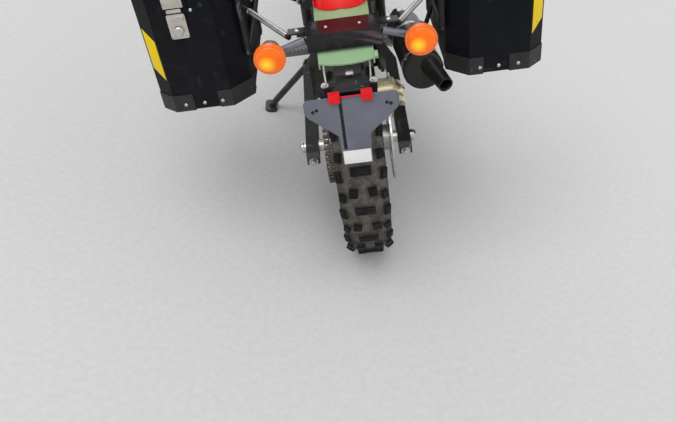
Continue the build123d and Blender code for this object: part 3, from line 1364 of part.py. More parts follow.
FRONT_SIGNAL_X = 158.0
FRONT_SIGNAL_R = 29.0
with BuildPart() as front_signals:
    for side in (LEFT, RIGHT):
        lamp = Plane(
            origin=(side * FRONT_SIGNAL_X, cowl_back.Y + 52, cowl_back.Z - 30), x_dir=(1, 0, 0), z_dir=(0, 1, 0),
        )
        with BuildSketch(lamp.offset(-36)):
            Circle(FRONT_SIGNAL_R - 12)
        with BuildSketch(lamp):
            Circle(FRONT_SIGNAL_R)
        loft()
        with BuildSketch(lamp):
            Circle(FRONT_SIGNAL_R)
        extrude(amount=10)
        with BuildSketch(beside(side * (COWL_WIDE / 2 + FIT), lamp.origin.Y - 18, lamp.origin.Z)):
            Circle(8)
        extrude(amount=side * (FRONT_SIGNAL_X - COWL_WIDE / 2 - 12))
front_signals.part.label = "front_signals"

# Side stand: its foot lies flat on the leaned floor
pivot = Vector(*STAND_PIVOT)
foot = Vector(STAND_FOOT_X, STAND_FOOT_Y, floor_height(STAND_FOOT_X))
floor_normal = Vector(sin(radians(LEAN)), 0, cos(radians(LEAN)))
FOOT_THICK = 9.0
ankle = foot + floor_normal * (FOOT_THICK - 1)
leg = tubes([([tuple(pivot), tuple(ankle)], 12, 10)])
with BuildPart() as side_stand:
    add(leg)
    with BuildSketch(Plane(origin=foot, x_dir=(cos(radians(LEAN)), 0, -sin(radians(LEAN))), z_dir=floor_normal)):
        RectangleRounded(46, 76, 18)
    extrude(amount=FOOT_THICK)
    with BuildSketch(stand_hinge.offset(-STAND_HALF)):
        Circle(18)
    extrude(amount=2 * STAND_HALF)
    with BuildSketch(stand_hinge.offset(STAND_HALF)):
        Circle(60)
    extrude(amount=40, mode=Mode.SUBTRACT)
    with BuildSketch(stand_hinge.offset(-STAND_HALF)):
        Circle(STAND_PIN_R + 12)
    extrude(amount=-6, mode=Mode.SUBTRACT)
    with BuildSketch(stand_hinge.offset(-STAND_HALF)):
        Circle(STAND_PIN_R + TURN_GAP)
    extrude(amount=2 * STAND_HALF, mode=Mode.SUBTRACT)
side_stand.part.label = "side_stand"

# Standing: lean to the left about the line through the tyres, then bring the floor to Z = 0
PIECES = (
    main_frame, subframe, swingarm, rear_axle, engine_case, cylinder, air_box, exhaust_header, muffler,
    shock_absorber, skid_plate, fuel_tank, seat, side_panels, rear_fender, inner_fender, tail_light, tail_bar,
    rear_signals, plate_bracket, plate_reflectors, luggage_rack, pannier_racks, pannier_box_left,
    pannier_box_right, pannier_lid_left, pannier_lid_right, pannier_corners, pannier_latches, chain,
    chain_guard, rear_caliper, foot_controls, rear_rim, rear_tyre, rear_sprocket, rear_disc, fork_clamps,
    fork_tubes, fork_sliders, front_axle, front_caliper, handlebar, hand_controls, mirrors, front_fender,
    headlight, headlight_cowl, windscreen, instruments, front_signals, front_rim, front_tyre, front_disc,
    side_stand,
)
lean_over = Location((0, 0, 0), (0, -LEAN, 0)) * Location((0, 0, -FLOOR_Z))
leaned = {piece.part.label: piece.part.moved(lean_over) for piece in PIECES}
whole = Compound(list(leaned.values())).bounding_box()
ground = Location((-(whole.min.X + whole.max.X) / 2, -(whole.min.Y + whole.max.Y) / 2, 0))
for label, piece in leaned.items():
    stood = piece.moved(ground)
    stood.label = label
    export_step(stood, f"parts/{label}.step")
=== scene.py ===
"""Dual-sport motorcycle with a box on each side, parked on its side stand: the dressed model."""
import json
from math import asin, atan2, cos, hypot, pi, radians, sin

import bmesh
import bpy
from mathutils import Matrix, Vector


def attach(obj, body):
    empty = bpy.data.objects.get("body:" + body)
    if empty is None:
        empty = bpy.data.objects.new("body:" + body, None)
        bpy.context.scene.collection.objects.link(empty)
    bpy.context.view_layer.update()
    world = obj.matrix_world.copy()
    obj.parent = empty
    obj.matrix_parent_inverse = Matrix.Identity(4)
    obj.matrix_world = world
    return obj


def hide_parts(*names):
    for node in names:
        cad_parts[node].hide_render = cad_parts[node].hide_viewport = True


bl_info = {
    "name": "Dual-sport motorcycle",
    "version": (1, 0, 0),
    "blender": (4, 5, 0),
    "location": "View3D > Sidebar > Motorcycle",
    "description": "Finishes and fittings of a dual-sport motorcycle with side boxes",
    "category": "Object",
}

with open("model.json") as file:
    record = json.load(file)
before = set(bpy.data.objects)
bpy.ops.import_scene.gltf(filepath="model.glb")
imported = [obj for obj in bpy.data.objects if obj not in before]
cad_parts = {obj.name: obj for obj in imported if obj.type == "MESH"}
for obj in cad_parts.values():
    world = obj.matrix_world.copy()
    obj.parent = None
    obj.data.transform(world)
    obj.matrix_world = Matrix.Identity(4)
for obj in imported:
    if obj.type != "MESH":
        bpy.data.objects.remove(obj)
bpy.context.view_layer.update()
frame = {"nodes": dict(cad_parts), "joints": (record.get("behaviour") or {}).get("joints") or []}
NODES = frame["nodes"]
JOINTS = {joint["name"]: joint for joint in frame["joints"]}

# The pieces are worked in millimetres on an upright motorcycle: X right, Y forward, rear axle at (0, 0, 322).
AXLE_HIGH = 322.0
SIDEWAYS = Vector(JOINTS["rear_wheel_spin"]["axis"])
REAR_HUB = Vector(JOINTS["rear_wheel_spin"]["pos_m"])
FRONT_HUB = Vector(JOINTS["front_wheel_spin"]["pos_m"])
LEAN = atan2(SIDEWAYS.z, SIDEWAYS.x)
LEANING = Matrix.Rotation(-LEAN, 4, "Y") @ Matrix.Scale(0.001, 4)
UPRIGHT = Matrix.Translation(REAR_HUB) @ LEANING @ Matrix.Translation((0, 0, -AXLE_HIGH))
REAR_WHEEL = Matrix.Translation(REAR_HUB) @ LEANING
FRONT_WHEEL = Matrix.Translation(FRONT_HUB) @ LEANING

RIGHT, LEFT = 1, -1
BOTH = (LEFT, RIGHT)
SIDES = ((RIGHT, "right"), (LEFT, "left"))
RIGHTWARD, LEFTWARD = (1, 0, 0), (-1, 0, 0)
FORWARD, BACKWARD = (0, 1, 0), (0, -1, 0)
UPWARD, DOWNWARD = (0, 0, 1), (0, 0, -1)


# Sizes and colours that a user may change
class MotorcycleLook(bpy.types.PropertyGroup):
    """Colours and sizes of the dressed motorcycle"""

    body_green: bpy.props.FloatVectorProperty(
        name="Body green", description="Colour of the plastic bodywork", subtype="COLOR", size=3,
        default=(0.30, 0.50, 0.26), min=0, max=1)
    box_black: bpy.props.FloatVectorProperty(
        name="Box black", description="Colour of the powder coat on the boxes", subtype="COLOR", size=3,
        default=(0.004, 0.005, 0.009), min=0, max=1)
    sticker_yellow: bpy.props.FloatVectorProperty(
        name="Sticker yellow", description="Colour of the reflective stickers", subtype="COLOR", size=3,
        default=(0.98, 0.66, 0.004), min=0, max=1)
    lens_orange: bpy.props.FloatVectorProperty(
        name="Lens orange", description="Colour of the turn signals", subtype="COLOR", size=3,
        default=(0.95, 0.15, 0.0), min=0, max=1)
    lens_red: bpy.props.FloatVectorProperty(
        name="Lens red", description="Colour of the tail lamp and reflectors", subtype="COLOR", size=3,
        default=(0.83, 0.005, 0.012), min=0, max=1)
    lug_height: bpy.props.FloatProperty(
        name="Lug height", description="Depth of the tread, in millimetres", default=11.0, min=4, max=14)
    rear_lug_rows: bpy.props.IntProperty(
        name="Rear lug rows", description="Rows of lugs round the rear tyre", default=36, min=20, max=60)
    front_lug_rows: bpy.props.IntProperty(
        name="Front lug rows", description="Rows of lugs round the front tyre", default=36, min=20, max=70)
    chain_pitches: bpy.props.IntProperty(
        name="Chain pitches", description="Pitches round the drive chain, an even number", default=110,
        min=80, max=140)
    road_dust: bpy.props.FloatProperty(
        name="Road dust", description="How much dust lies on the low parts", subtype="FACTOR",
        default=0.35, min=0, max=1)
    lamp_strength: bpy.props.FloatProperty(
        name="Key lamp", description="Strength of the soft key lamp", default=1.5, min=0, max=6)


def look():
    """The settings of this scene."""
    return bpy.context.scene.motorcycle_look


# Shader groups and finishes
class Wiring:
    """A node tree with short calls to add and join nodes."""

    def __init__(self, tree):
        self.tree = tree

    def node(self, kind, inputs=None, **settings):
        made = self.tree.nodes.new(kind)
        for key, value in settings.items():
            setattr(made, key, value)
        for key, value in (inputs or {}).items():
            if isinstance(value, bpy.types.NodeSocket):
                self.tree.links.new(value, made.inputs[key])
            else:
                made.inputs[key].default_value = value
        return made

    def math(self, operation, *values, clamp=False):
        made = self.node("ShaderNodeMath", dict(enumerate(values)), operation=operation, use_clamp=clamp)
        return made.outputs[0]

    def times(self, first, second):
        return self.math("MULTIPLY", first, second)

    def ramp(self, value, low, high, to_low=0.0, to_high=1.0):
        """value from low..high to to_low..to_high, held at the ends."""
        limits = {0: value, 1: low, 2: high, 3: to_low, 4: to_high}
        return self.node("ShaderNodeMapRange", limits).outputs[0]

    def noise(self, vector, scale, detail=3.0, rough=0.55):
        settings = {"Vector": vector, "Scale": scale, "Detail": detail, "Roughness": rough}
        return self.node("ShaderNodeTexNoise", settings).outputs["Fac"]

    def stretch(self, vector, scale):
        return self.node("ShaderNodeMapping", {"Vector": vector, "Scale": scale}).outputs[0]

    def mix(self, mask, first, second):
        made = self.node("ShaderNodeMix", data_type="RGBA", clamp_factor=True)
        colours = [socket for socket in made.inputs if socket.type == "RGBA"]
        for socket, value in ((made.inputs[0], mask), (colours[0], first), (colours[1], second)):
            if isinstance(value, bpy.types.NodeSocket):
                self.tree.links.new(value, socket)
            else:
                socket.default_value = value if socket.type == "VALUE" else (*value[:3], 1)
        return next(socket for socket in made.outputs if socket.type == "RGBA")


def effect(name, inputs, outputs, fill):
    """A shader group with named sockets, built once. fill wires it and returns its outputs."""
    if name in bpy.data.node_groups:
        return bpy.data.node_groups[name]
    tree = bpy.data.node_groups.new(name, "ShaderNodeTree")
    for socket, kind, default in inputs:
        made = tree.interface.new_socket(socket, in_out="INPUT", socket_type=kind)
        if default is not None:
            made.default_value = default
    for socket, kind in outputs:
        tree.interface.new_socket(socket, in_out="OUTPUT", socket_type=kind)
    wiring = Wiring(tree)
    entry = wiring.node("NodeGroupInput")
    leave = wiring.node("NodeGroupOutput")
    for socket, value in fill(wiring, entry.outputs).items():
        tree.links.new(value, leave.inputs[socket])
    return tree


VECTOR, FLOAT = "NodeSocketVector", "NodeSocketFloat"


def mottle_effect():
    """Uneven tone: broad clouds with a finer speckle."""
    def fill(w, given):
        clouds = w.noise(given["Vector"], given["Scale"], 2.0)
        speckle = w.noise(given["Vector"], w.times(given["Scale"], 9.0), 4.0)
        both = w.math("ADD", w.times(clouds, 0.65), w.times(speckle, 0.35))
        return {"Mask": w.ramp(both, 0.34, 0.66)}
    return effect("Uneven tone", [("Vector", VECTOR, None), ("Scale", FLOAT, 8.0)], [("Mask", FLOAT)], fill)


def scuff_effect():
    """Fine scuffs and scratches, longer one way."""
    def fill(w, given):
        scale = given["Scale"]
        wide = w.noise(given["Vector"], w.times(scale, 0.12), 2.0)
        lines = []
        for stretch in ((1.0, 0.05, 0.4), (0.06, 1.0, 0.6)):
            lines.append(w.ramp(w.noise(w.stretch(given["Vector"], stretch), scale, 2.0, 0.4), 0.66, 0.72))
        marks = w.times(w.math("MAXIMUM", *lines), w.ramp(wide, 0.48, 0.62))
        return {"Mask": w.times(marks, given["Amount"])}
    return effect("Scuffs", [("Vector", VECTOR, None), ("Scale", FLOAT, 60.0), ("Amount", FLOAT, 0.5)],
                  [("Mask", FLOAT)], fill)


def dust_effect():
    """Road dust that thins out with height."""
    def fill(w, given):
        height = w.node("ShaderNodeSeparateXYZ", {0: given["Vector"]}).outputs["Z"]
        low = w.ramp(height, given["Clean above"], given["Thick below"])
        patches = w.ramp(w.noise(given["Vector"], 22.0, 5.0, 0.62), 0.36, 0.68, 0.25, 1.0)
        specks = w.ramp(w.noise(given["Vector"], 420.0, 2.0), 0.45, 0.7, 0.55, 1.0)
        film = w.times(low, w.times(patches, specks))
        return {"Mask": w.times(film, given["Amount"])}
    inputs = [("Vector", VECTOR, None), ("Amount", FLOAT, 0.4), ("Clean above", FLOAT, 0.9),
              ("Thick below", FLOAT, 0.1)]
    return effect("Road dust", inputs, [("Mask", FLOAT)], fill)


def grain_effect():
    """Moulded or sprayed grain: rounded cells over a fine noise."""
    def fill(w, given):
        cells = w.node("ShaderNodeTexVoronoi", {"Vector": given["Vector"], "Scale": given["Scale"]},
                       feature="SMOOTH_F1").outputs["Distance"]
        fine = w.noise(given["Vector"], w.times(given["Scale"], 1.7), 3.0)
        cells = w.times(cells, given["Cells"])
        return {"Height": w.math("ADD", cells, w.times(fine, 0.5))}
    return effect("Surface grain", [("Vector", VECTOR, None), ("Scale", FLOAT, 600.0), ("Cells", FLOAT, 0.6)],
                  [("Height", FLOAT)], fill)


def brushed_effect():
    """Brushing lines along one direction, given as a stretch."""
    def fill(w, given):
        lay = w.node("ShaderNodeVectorMath", {0: given["Vector"], 1: given["Stretch"]}, operation="MULTIPLY")
        lines = w.noise(lay.outputs[0], 1.0, 3.0, 0.7)
        return {"Height": lines, "Mask": w.ramp(lines, 0.35, 0.65)}
    return effect("Brushed lines", [("Vector", VECTOR, None), ("Stretch", VECTOR, (40.0, 900.0, 40.0))],
                  [("Height", FLOAT), ("Mask", FLOAT)], fill)


def place_effect(w, group, vector, **values):
    """Places a shader group in a material and returns its outputs."""
    inputs = {key.replace("_", " ").capitalize(): value for key, value in values.items()}
    return w.node("ShaderNodeGroup", {"Vector": vector, **inputs}, node_tree=group).outputs


DUST_COLOUR = (0.30, 0.25, 0.18)


def finish(name, colour, roughness, metallic=0.0, coat=0.0, tone=(8.0, 0.12), scuffs=None, dust=None,
           grain=None, brushed=None, ior=1.5, spread=0.12, clear=0.0, adjust=None):
    """A material from the shared effects.

    tone: scale, strength; scuffs: scale, amount, colour; dust: amount, clean above, thick below;
    grain: scale, cells, depth in metres; brushed: stretch, depth; clear: how much light it lets through;
    adjust(w, vector, colour, rough) changes both.
    """
    if name in bpy.data.materials:
        return bpy.data.materials[name]
    material = bpy.data.materials.new(name)
    material.use_nodes = True
    w = Wiring(material.node_tree)
    shader = material.node_tree.nodes["Principled BSDF"]
    vector = w.node("ShaderNodeTexCoord").outputs["Object"]
    uneven = place_effect(w, mottle_effect(), vector, scale=tone[0])["Mask"]
    dark, pale = ([c * k for c in colour] for k in (1 - tone[1], 1 + tone[1]))
    paint = w.mix(uneven, dark, [min(c, 1.0) for c in pale])
    rough = w.ramp(uneven, 0.0, 1.0, max(roughness - spread / 2, 0.03), min(roughness + spread / 2, 1.0))
    heights = []
    if brushed:
        lines = place_effect(w, brushed_effect(), vector, stretch=brushed[0])
        paint = w.mix(w.times(lines["Mask"], 0.35), paint, [c * 0.72 for c in colour])
        rough = w.math("ADD", rough, w.times(lines["Mask"], 0.08))
        heights.append((lines["Height"], brushed[1]))
    if grain:
        cells = place_effect(w, grain_effect(), vector, scale=grain[0], cells=grain[1])["Height"]
        heights.append((cells, grain[2]))
    if scuffs:
        marks = place_effect(w, scuff_effect(), vector, scale=scuffs[0], amount=scuffs[1])["Mask"]
        paint = w.mix(marks, paint, scuffs[2])
        rough = w.math("ADD", rough, w.times(marks, 0.15), clamp=True)
    if adjust:
        paint, rough = adjust(w, vector, paint, rough)
    if dust:
        amount, clean_above, thick_below = dust
        film = place_effect(w, dust_effect(), vector, amount=amount, clean_above=clean_above,
                            thick_below=thick_below)["Mask"]
        paint = w.mix(film, paint, DUST_COLOUR)
        rough = w.math("ADD", rough, w.times(film, 0.45), clamp=True)
    w.tree.links.new(paint, shader.inputs["Base Color"])
    w.tree.links.new(rough, shader.inputs["Roughness"])
    shader.inputs["Metallic"].default_value = metallic
    shader.inputs["IOR"].default_value = ior
    shader.inputs["Transmission Weight"].default_value = clear
    shader.inputs["Coat Weight"].default_value = coat
    shader.inputs["Coat Roughness"].default_value = 0.08
    normal = None
    for height, depth in heights:
        bump = w.node("ShaderNodeBump", {"Height": height, "Strength": 1.0, "Distance": depth})
        if normal is not None:
            w.tree.links.new(normal, bump.inputs["Normal"])
        normal = bump.outputs[0]
    if normal is not None:
        w.tree.links.new(normal, shader.inputs["Normal"])
    return material


def tyre_rubber():
    """Worn black rubber, with pale dust in the tread's grooves, which the piece's dust attribute marks."""
    def adjust(w, vector, paint, rough):
        low = w.node("ShaderNodeAttribute", attribute_name="dust").outputs["Fac"]
        patches = w.ramp(w.noise(vector, 34.0, 4.0, 0.6), 0.36, 0.62, 0.45, 1.0)
        grit = w.ramp(w.noise(vector, 300.0, 2.0), 0.40, 0.62, 0.6, 1.0)
        shade = w.times(w.times(w.ramp(low, 0.25, 0.95), patches), grit)
        paint = w.mix(shade, paint, (0.19, 0.172, 0.148))
        rubbed = w.ramp(w.noise(vector, 60.0, 3.0), 0.5, 0.7, 0.0, 0.5)
        worn = w.times(w.ramp(low, 0.06, 0.0), rubbed)
        paint = w.mix(worn, paint, (0.038, 0.038, 0.040))
        return paint, w.math("ADD", rough, w.times(shade, 0.2), clamp=True)
    return finish("Tyre rubber", (0.008, 0.008, 0.009), 0.62, tone=(26.0, 0.4), grain=(900.0, 0.5, 0.0003),
                  ior=1.24, adjust=adjust)


def lens_plastic(name, colour, painted_glow_colour, centres, reach):
    """Ribbed coloured lens plastic with painted light: a paler painted highlight of a bulb round each of the
    centres, in the row frame, and a faint painted glow from emission.
    """
    def adjust(w, vector, paint, rough):
        # Painted highlight: the colour turns to the paler glow colour towards each bulb's centre, within
        # reach.
        bright = None
        for centre in centres:
            away = w.node("ShaderNodeVectorMath", {0: vector, 1: centre}, operation="DISTANCE")
            here = w.ramp(away.outputs["Value"], reach, reach * 0.25)
            bright = here if bright is None else w.math("MAXIMUM", bright, here)
        return w.mix(bright, paint, painted_glow_colour), rough
    material = finish(name, colour, 0.20, coat=0.25, tone=(60.0, 0.10), grain=(170.0, 1.0, 0.0007),
                      spread=0.05, ior=1.35, adjust=adjust)
    shader = material.node_tree.nodes["Principled BSDF"]
    # Painted glow: the lens emits its own colour faintly, as if lit.
    paint = shader.inputs["Base Color"].links[0].from_socket
    material.node_tree.links.new(paint, shader.inputs["Emission Color"])
    shader.inputs["Emission Strength"].default_value = 0.28
    return material


# The tail lamp's place, where the tail lens's painted highlight is centred.
TAIL_LAMP = (0, -176, 838)
REAR_SIGNAL_X, FRONT_SIGNAL_X = 161, 158


def finishes():
    """Every finish of the motorcycle, by name."""
    it = look()
    dust = it.road_dust
    steel_marks = (90.0, 0.5, (0.05, 0.045, 0.04))
    made = {
        "green plastic": finish("Green bodywork plastic", it.body_green, 0.30, coat=0.35, tone=(6.0, 0.05),
            scuffs=(70.0, 0.35, (0.45, 0.58, 0.40)), dust=(dust * 0.5, 1.1, 0.3),
            grain=(1500.0, 0.2, 0.00005)),
        "box paint": finish("Black powder coat", it.box_black, 0.44, tone=(5.0, 0.25), ior=1.20,
            scuffs=(60.0, 0.35, (0.075, 0.083, 0.10)), dust=(dust * 0.18, 0.9, 0.45),
            grain=(1400.0, 0.7, 0.00009)),
        "corner plastic": finish("Black corner plastic", (0.017, 0.020, 0.021), 0.50, tone=(18.0, 0.3),
            ior=1.35, scuffs=(80.0, 0.6, (0.13, 0.14, 0.15)), dust=(dust * 0.35, 0.9, 0.5),
            grain=(900.0, 0.8, 0.0002)),
        "black steel": finish("Black painted steel", (0.009, 0.009, 0.011), 0.34, tone=(9.0, 0.3), ior=1.33,
            scuffs=(85.0, 0.55, (0.16, 0.15, 0.15)), dust=(dust * 0.6, 1.0, 0.25),
            grain=(1200.0, 0.4, 0.00006)),
        "frame paint": finish("Frame paint", (0.010, 0.010, 0.012), 0.32, coat=0.1, tone=(7.0, 0.25),
            ior=1.33, scuffs=(70.0, 0.4, (0.13, 0.12, 0.12)), dust=(dust, 0.95, 0.15)),
        "black plastic": finish("Black moulded plastic", (0.014, 0.014, 0.015), 0.58, tone=(14.0, 0.2),
            ior=1.33, scuffs=(90.0, 0.4, (0.12, 0.12, 0.12)), dust=(dust, 1.0, 0.2),
            grain=(1100.0, 0.8, 0.00018)),
        "cast alloy": finish("Cast alloy", (0.20, 0.20, 0.205), 0.48, metallic=0.85, tone=(12.0, 0.25),
            scuffs=steel_marks, dust=(dust * 1.3, 0.8, 0.15), grain=(700.0, 0.9, 0.00025)),
        "arm alloy": finish("Dark satin alloy", (0.035, 0.036, 0.042), 0.40, metallic=0.7, tone=(10.0, 0.2),
            scuffs=(90.0, 0.5, (0.3, 0.3, 0.31)), dust=(dust * 0.6, 0.7, 0.15),
            brushed=((900.0, 30.0, 900.0), 0.00005)),
        "bright steel": finish("Bright steel", (0.56, 0.55, 0.53), 0.27, metallic=1.0, tone=(22.0, 0.15),
            scuffs=(120.0, 0.5, (0.22, 0.19, 0.16)), dust=(dust * 0.7, 0.8, 0.1)),
        "stainless": finish("Brushed stainless", (0.62, 0.58, 0.52), 0.30, metallic=1.0, tone=(30.0, 0.12),
            scuffs=(160.0, 0.7, (0.25, 0.22, 0.18)), brushed=((120.0, 30.0, 1600.0), 0.00004)),
        "rim alloy": finish("Rim alloy", (0.50, 0.50, 0.51), 0.30, metallic=1.0, tone=(20.0, 0.15),
            scuffs=(100.0, 0.5, (0.25, 0.24, 0.22)), dust=(dust * 1.3, 0.8, 0.1)),
        "disc steel": finish("Disc steel", (0.52, 0.51, 0.50), 0.22, metallic=1.0, tone=(40.0, 0.15),
            scuffs=(140.0, 0.9, (0.3, 0.28, 0.25)), dust=(dust * 0.4, 0.7, 0.1)),
        "chain steel": finish("Oiled chain steel", (0.13, 0.10, 0.075), 0.42, metallic=0.8, tone=(60.0, 0.5),
            scuffs=(180.0, 0.8, (0.03, 0.025, 0.02)), dust=(dust, 0.7, 0.1)),
        "gold": finish("Gold anodised caliper", (0.90, 0.74, 0.46), 0.32, metallic=0.6, tone=(26.0, 0.18),
            scuffs=(120.0, 0.6, (0.36, 0.27, 0.15)), dust=(dust * 0.5, 0.7, 0.2),
            grain=(800.0, 0.8, 0.0002)),
        "plate grey": finish("Dark grey plate bracket", (0.150, 0.156, 0.195), 0.44, metallic=0.1,
            tone=(14.0, 0.14), scuffs=(110.0, 0.4, (0.20, 0.20, 0.22)),
            brushed=((1300.0, 60.0, 14.0), 0.00008)),
        "signal grey": finish("Grey signal stalks", (0.20, 0.20, 0.24), 0.36, metallic=0.7, tone=(16.0, 0.2),
            scuffs=(90.0, 0.5, (0.45, 0.45, 0.47)), dust=(dust * 0.4, 0.9, 0.4)),
        "tail bar": finish("Tail bar paint", (0.012, 0.011, 0.014), 0.26, coat=0.2, tone=(24.0, 0.4),
            ior=1.33, scuffs=(75.0, 0.8, (0.20, 0.12, 0.13)), grain=(1300.0, 0.5, 0.00008)),
        "header steel": finish("Heat-tinted header steel", (0.47, 0.43, 0.40), 0.22, metallic=1.0,
            tone=(9.0, 0.25), scuffs=(90.0, 0.5, (0.24, 0.16, 0.13)), dust=(dust * 0.12, 0.7, 0.15)),
        "muffler black": finish("Heat-proof black", (0.007, 0.007, 0.008), 0.30, tone=(12.0, 0.3), ior=1.36,
            scuffs=(80.0, 0.6, (0.14, 0.14, 0.14)), dust=(dust * 0.6, 0.9, 0.3)),
        "seat vinyl": finish("Seat vinyl", (0.018, 0.018, 0.019), 0.56, tone=(10.0, 0.15),
            scuffs=(50.0, 0.3, (0.05, 0.05, 0.05)), grain=(520.0, 1.0, 0.0004)),
        "grip rubber": finish("Grip rubber", (0.014, 0.014, 0.015), 0.72, tone=(20.0, 0.2),
            grain=(380.0, 1.0, 0.0008)),
        "sticker": finish("Yellow reflective sticker", it.sticker_yellow, 0.36, tone=(14.0, 0.06), ior=1.25,
            grain=(700.0, 1.0, 0.00012), scuffs=(110.0, 0.3, (0.60, 0.42, 0.04))),
        "label": finish("Blank white label", (0.82, 0.82, 0.80), 0.42, tone=(40.0, 0.05),
            scuffs=(150.0, 0.25, (0.55, 0.53, 0.50))),
        "reflector": finish("Red prism reflector", it.lens_red, 0.20, coat=0.2, tone=(60.0, 0.12), ior=1.3,
            grain=(420.0, 1.0, 0.0006)),
        "spring": finish("Spring paint", (0.50, 0.46, 0.38), 0.32, coat=0.4, tone=(20.0, 0.15),
            scuffs=(90.0, 0.5, (0.12, 0.11, 0.1)), dust=(dust, 0.8, 0.2)),
        "lamp glass": finish("Lamp glass", (0.95, 0.96, 0.97), 0.05, tone=(20.0, 0.02), clear=1.0, ior=1.45,
            grain=(60.0, 1.0, 0.0008), spread=0.02),
        "screen": finish("Smoked screen", (0.42, 0.44, 0.47), 0.07, tone=(20.0, 0.04), clear=0.9, ior=1.45,
            scuffs=(90.0, 0.2, (0.5, 0.5, 0.5)), spread=0.03),
        "lamp bowl": finish("Lamp reflector", (0.86, 0.86, 0.87), 0.10, metallic=1.0, tone=(30.0, 0.03),
            spread=0.04),
        "mirror glass": finish("Mirror glass", (0.78, 0.80, 0.83), 0.04, metallic=1.0, tone=(30.0, 0.02),
            spread=0.02),
        "dial face": finish("Dial face", (0.014, 0.014, 0.016), 0.32, coat=0.6, tone=(60.0, 0.1)),
        "dial mark": finish("Dial marks", (0.80, 0.80, 0.77), 0.45, tone=(60.0, 0.04)),
        "needle": finish("Signal red", (0.80, 0.05, 0.02), 0.35, tone=(60.0, 0.05)),
        # Painted shade: near black stands for the shade inside holes; it dresses the bracket's ear holes and
        # the discs' drilled holes.
        "bore": finish("Painted hole shade", (0.006, 0.006, 0.006), 0.80, tone=(60.0, 0.2)),
    }
    # Painted highlight: the tail lens is painted paler red round its bulb.
    tail = UPRIGHT @ Vector(TAIL_LAMP)
    made["tail lens"] = lens_plastic("Tail lamp lens", it.lens_red, (1.0, 0.08, 0.06), [tail], 0.050)
    # Centres of the painted highlights on the signal lenses; the rear ones sit low and to the left of each
    # lens's middle.
    spots = [UPRIGHT @ Vector((side * REAR_SIGNAL_X - 8, -320, 757)) for side in BOTH]
    spots += [UPRIGHT @ Vector((side * FRONT_SIGNAL_X, 1292, 955)) for side in BOTH]
    made["tyre rubber"] = tyre_rubber()
    made["signal lens"] = lens_plastic("Turn signal lens", it.lens_orange, (1.0, 0.62, 0.02), spots, 0.021)
    return made


# Modelling helpers, in millimetres
def edges_of(verts):
    """The edges that meet the vertices."""
    return {edge for vert in verts for edge in vert.link_edges}


def soften(bm, edges, offset, segments=2):
    """Bevels the edges."""
    bmesh.ops.bevel(bm, geom=list(edges), offset=offset, offset_type="OFFSET", segments=segments,
                    profile=0.5, affect="EDGES", material=-1)


def tilted(degrees):
    """A turn about the line from left to right, front end up."""
    return Matrix.Rotation(radians(degrees), 4, "X")


def frame_along(heading):
    """A turn that takes +Y to a heading in the motorcycle's middle plane."""
    across = Vector(RIGHTWARD)
    return Matrix((across, heading, across.cross(heading))).transposed().to_4x4()


def block(bm, centre, size, turn=None, bevel=0.0, top=1.0):
    """A box whose +Z end may be smaller, with its edges bevelled."""
    made = bmesh.ops.create_cube(bm, size=1.0)["verts"]
    for vert in made:
        if vert.co.z > 0:
            vert.co.x *= top
            vert.co.y *= top
    matrix = Matrix.Translation(centre) @ (turn or Matrix()) @ Matrix.Diagonal((*size, 1))
    bmesh.ops.transform(bm, matrix=matrix, verts=made)
    if bevel:
        soften(bm, edges_of(made), bevel)
    return made


def facing(axis):
    """A turn that takes +Z to the axis."""
    return Vector(axis).to_track_quat("Z", "Y").to_matrix().to_4x4()


def lathe(bm, rows, centre, axis, segments=32):
    """Spins rows of (radius, height along the axis) into a closed shape."""
    verts = [bm.verts.new((radius, 0, high)) for radius, high in rows]
    edges = [bm.edges.new(pair) for pair in zip(verts, verts[1:])]
    before = set(bm.verts)
    bmesh.ops.spin(bm, geom=verts + edges, cent=(0, 0, 0), axis=UPWARD, angle=2 * pi, steps=segments,
                   use_merge=True)
    made = list(set(bm.verts) - before) + verts
    bmesh.ops.remove_doubles(bm, verts=made, dist=0.001)
    made = [vert for vert in made if vert.is_valid]
    bmesh.ops.transform(bm, matrix=Matrix.Translation(centre) @ facing(axis), verts=made)
    return made


def button_head(bm, centre, axis, radius, high, segments=16):
    """A rounded rivet or button screw head with a small dimple."""
    profile = ((0, 0.72), (0.28, 0.78), (0.34, 1.0), (0.6, 0.94), (0.86, 0.66), (1.0, 0.2))
    rows = [(radius * out, high * up) for out, up in profile] + [(radius, -0.5), (0, -0.5)]
    return lathe(bm, rows, centre, axis, segments)


def hex_head(bm, centre, axis, radius, high):
    """A hexagon screw head with chamfered corners on a washer."""
    turn = Matrix.Translation(centre) @ facing(axis)
    made = bmesh.ops.create_cone(bm, cap_ends=True, segments=6, radius1=radius, radius2=radius, depth=high,
                                 matrix=turn @ Matrix.Translation((0, 0, high / 2 + radius * 0.16)))["verts"]
    top = [e for e in edges_of(made) if all((turn.inverted() @ v.co).z > high * 0.9 for v in e.verts)]
    soften(bm, top, radius * 0.16)
    washer = [(0, radius * 0.18), (radius * 1.35, radius * 0.18), (radius * 1.4, 0), (0, 0)]
    lathe(bm, washer, centre, axis, 20)


def plate(bm, outline, origin, across_dir, up_dir, thick, bevel=0.0):
    """A flat sheet of the outline (right, up), thick along right x up."""
    across_dir, up_dir = Vector(across_dir).normalized(), Vector(up_dir).normalized()
    out = across_dir.cross(up_dir)
    verts = [bm.verts.new(Vector(origin) + across_dir * a + up_dir * u) for a, u in outline]
    face = bm.faces.new(verts)
    raised = bmesh.ops.extrude_face_region(bm, geom=[face])["geom"]
    moved = [item for item in raised if isinstance(item, bmesh.types.BMVert)]
    bmesh.ops.translate(bm, vec=out * thick, verts=moved)
    if bevel:
        soften(bm, [e for e in edges_of(moved) if all(v in moved for v in e.verts)], bevel)


def oblong(left, right, low, high):
    """The outline of a rectangle."""
    return [(left, low), (right, low), (right, high), (left, high)]


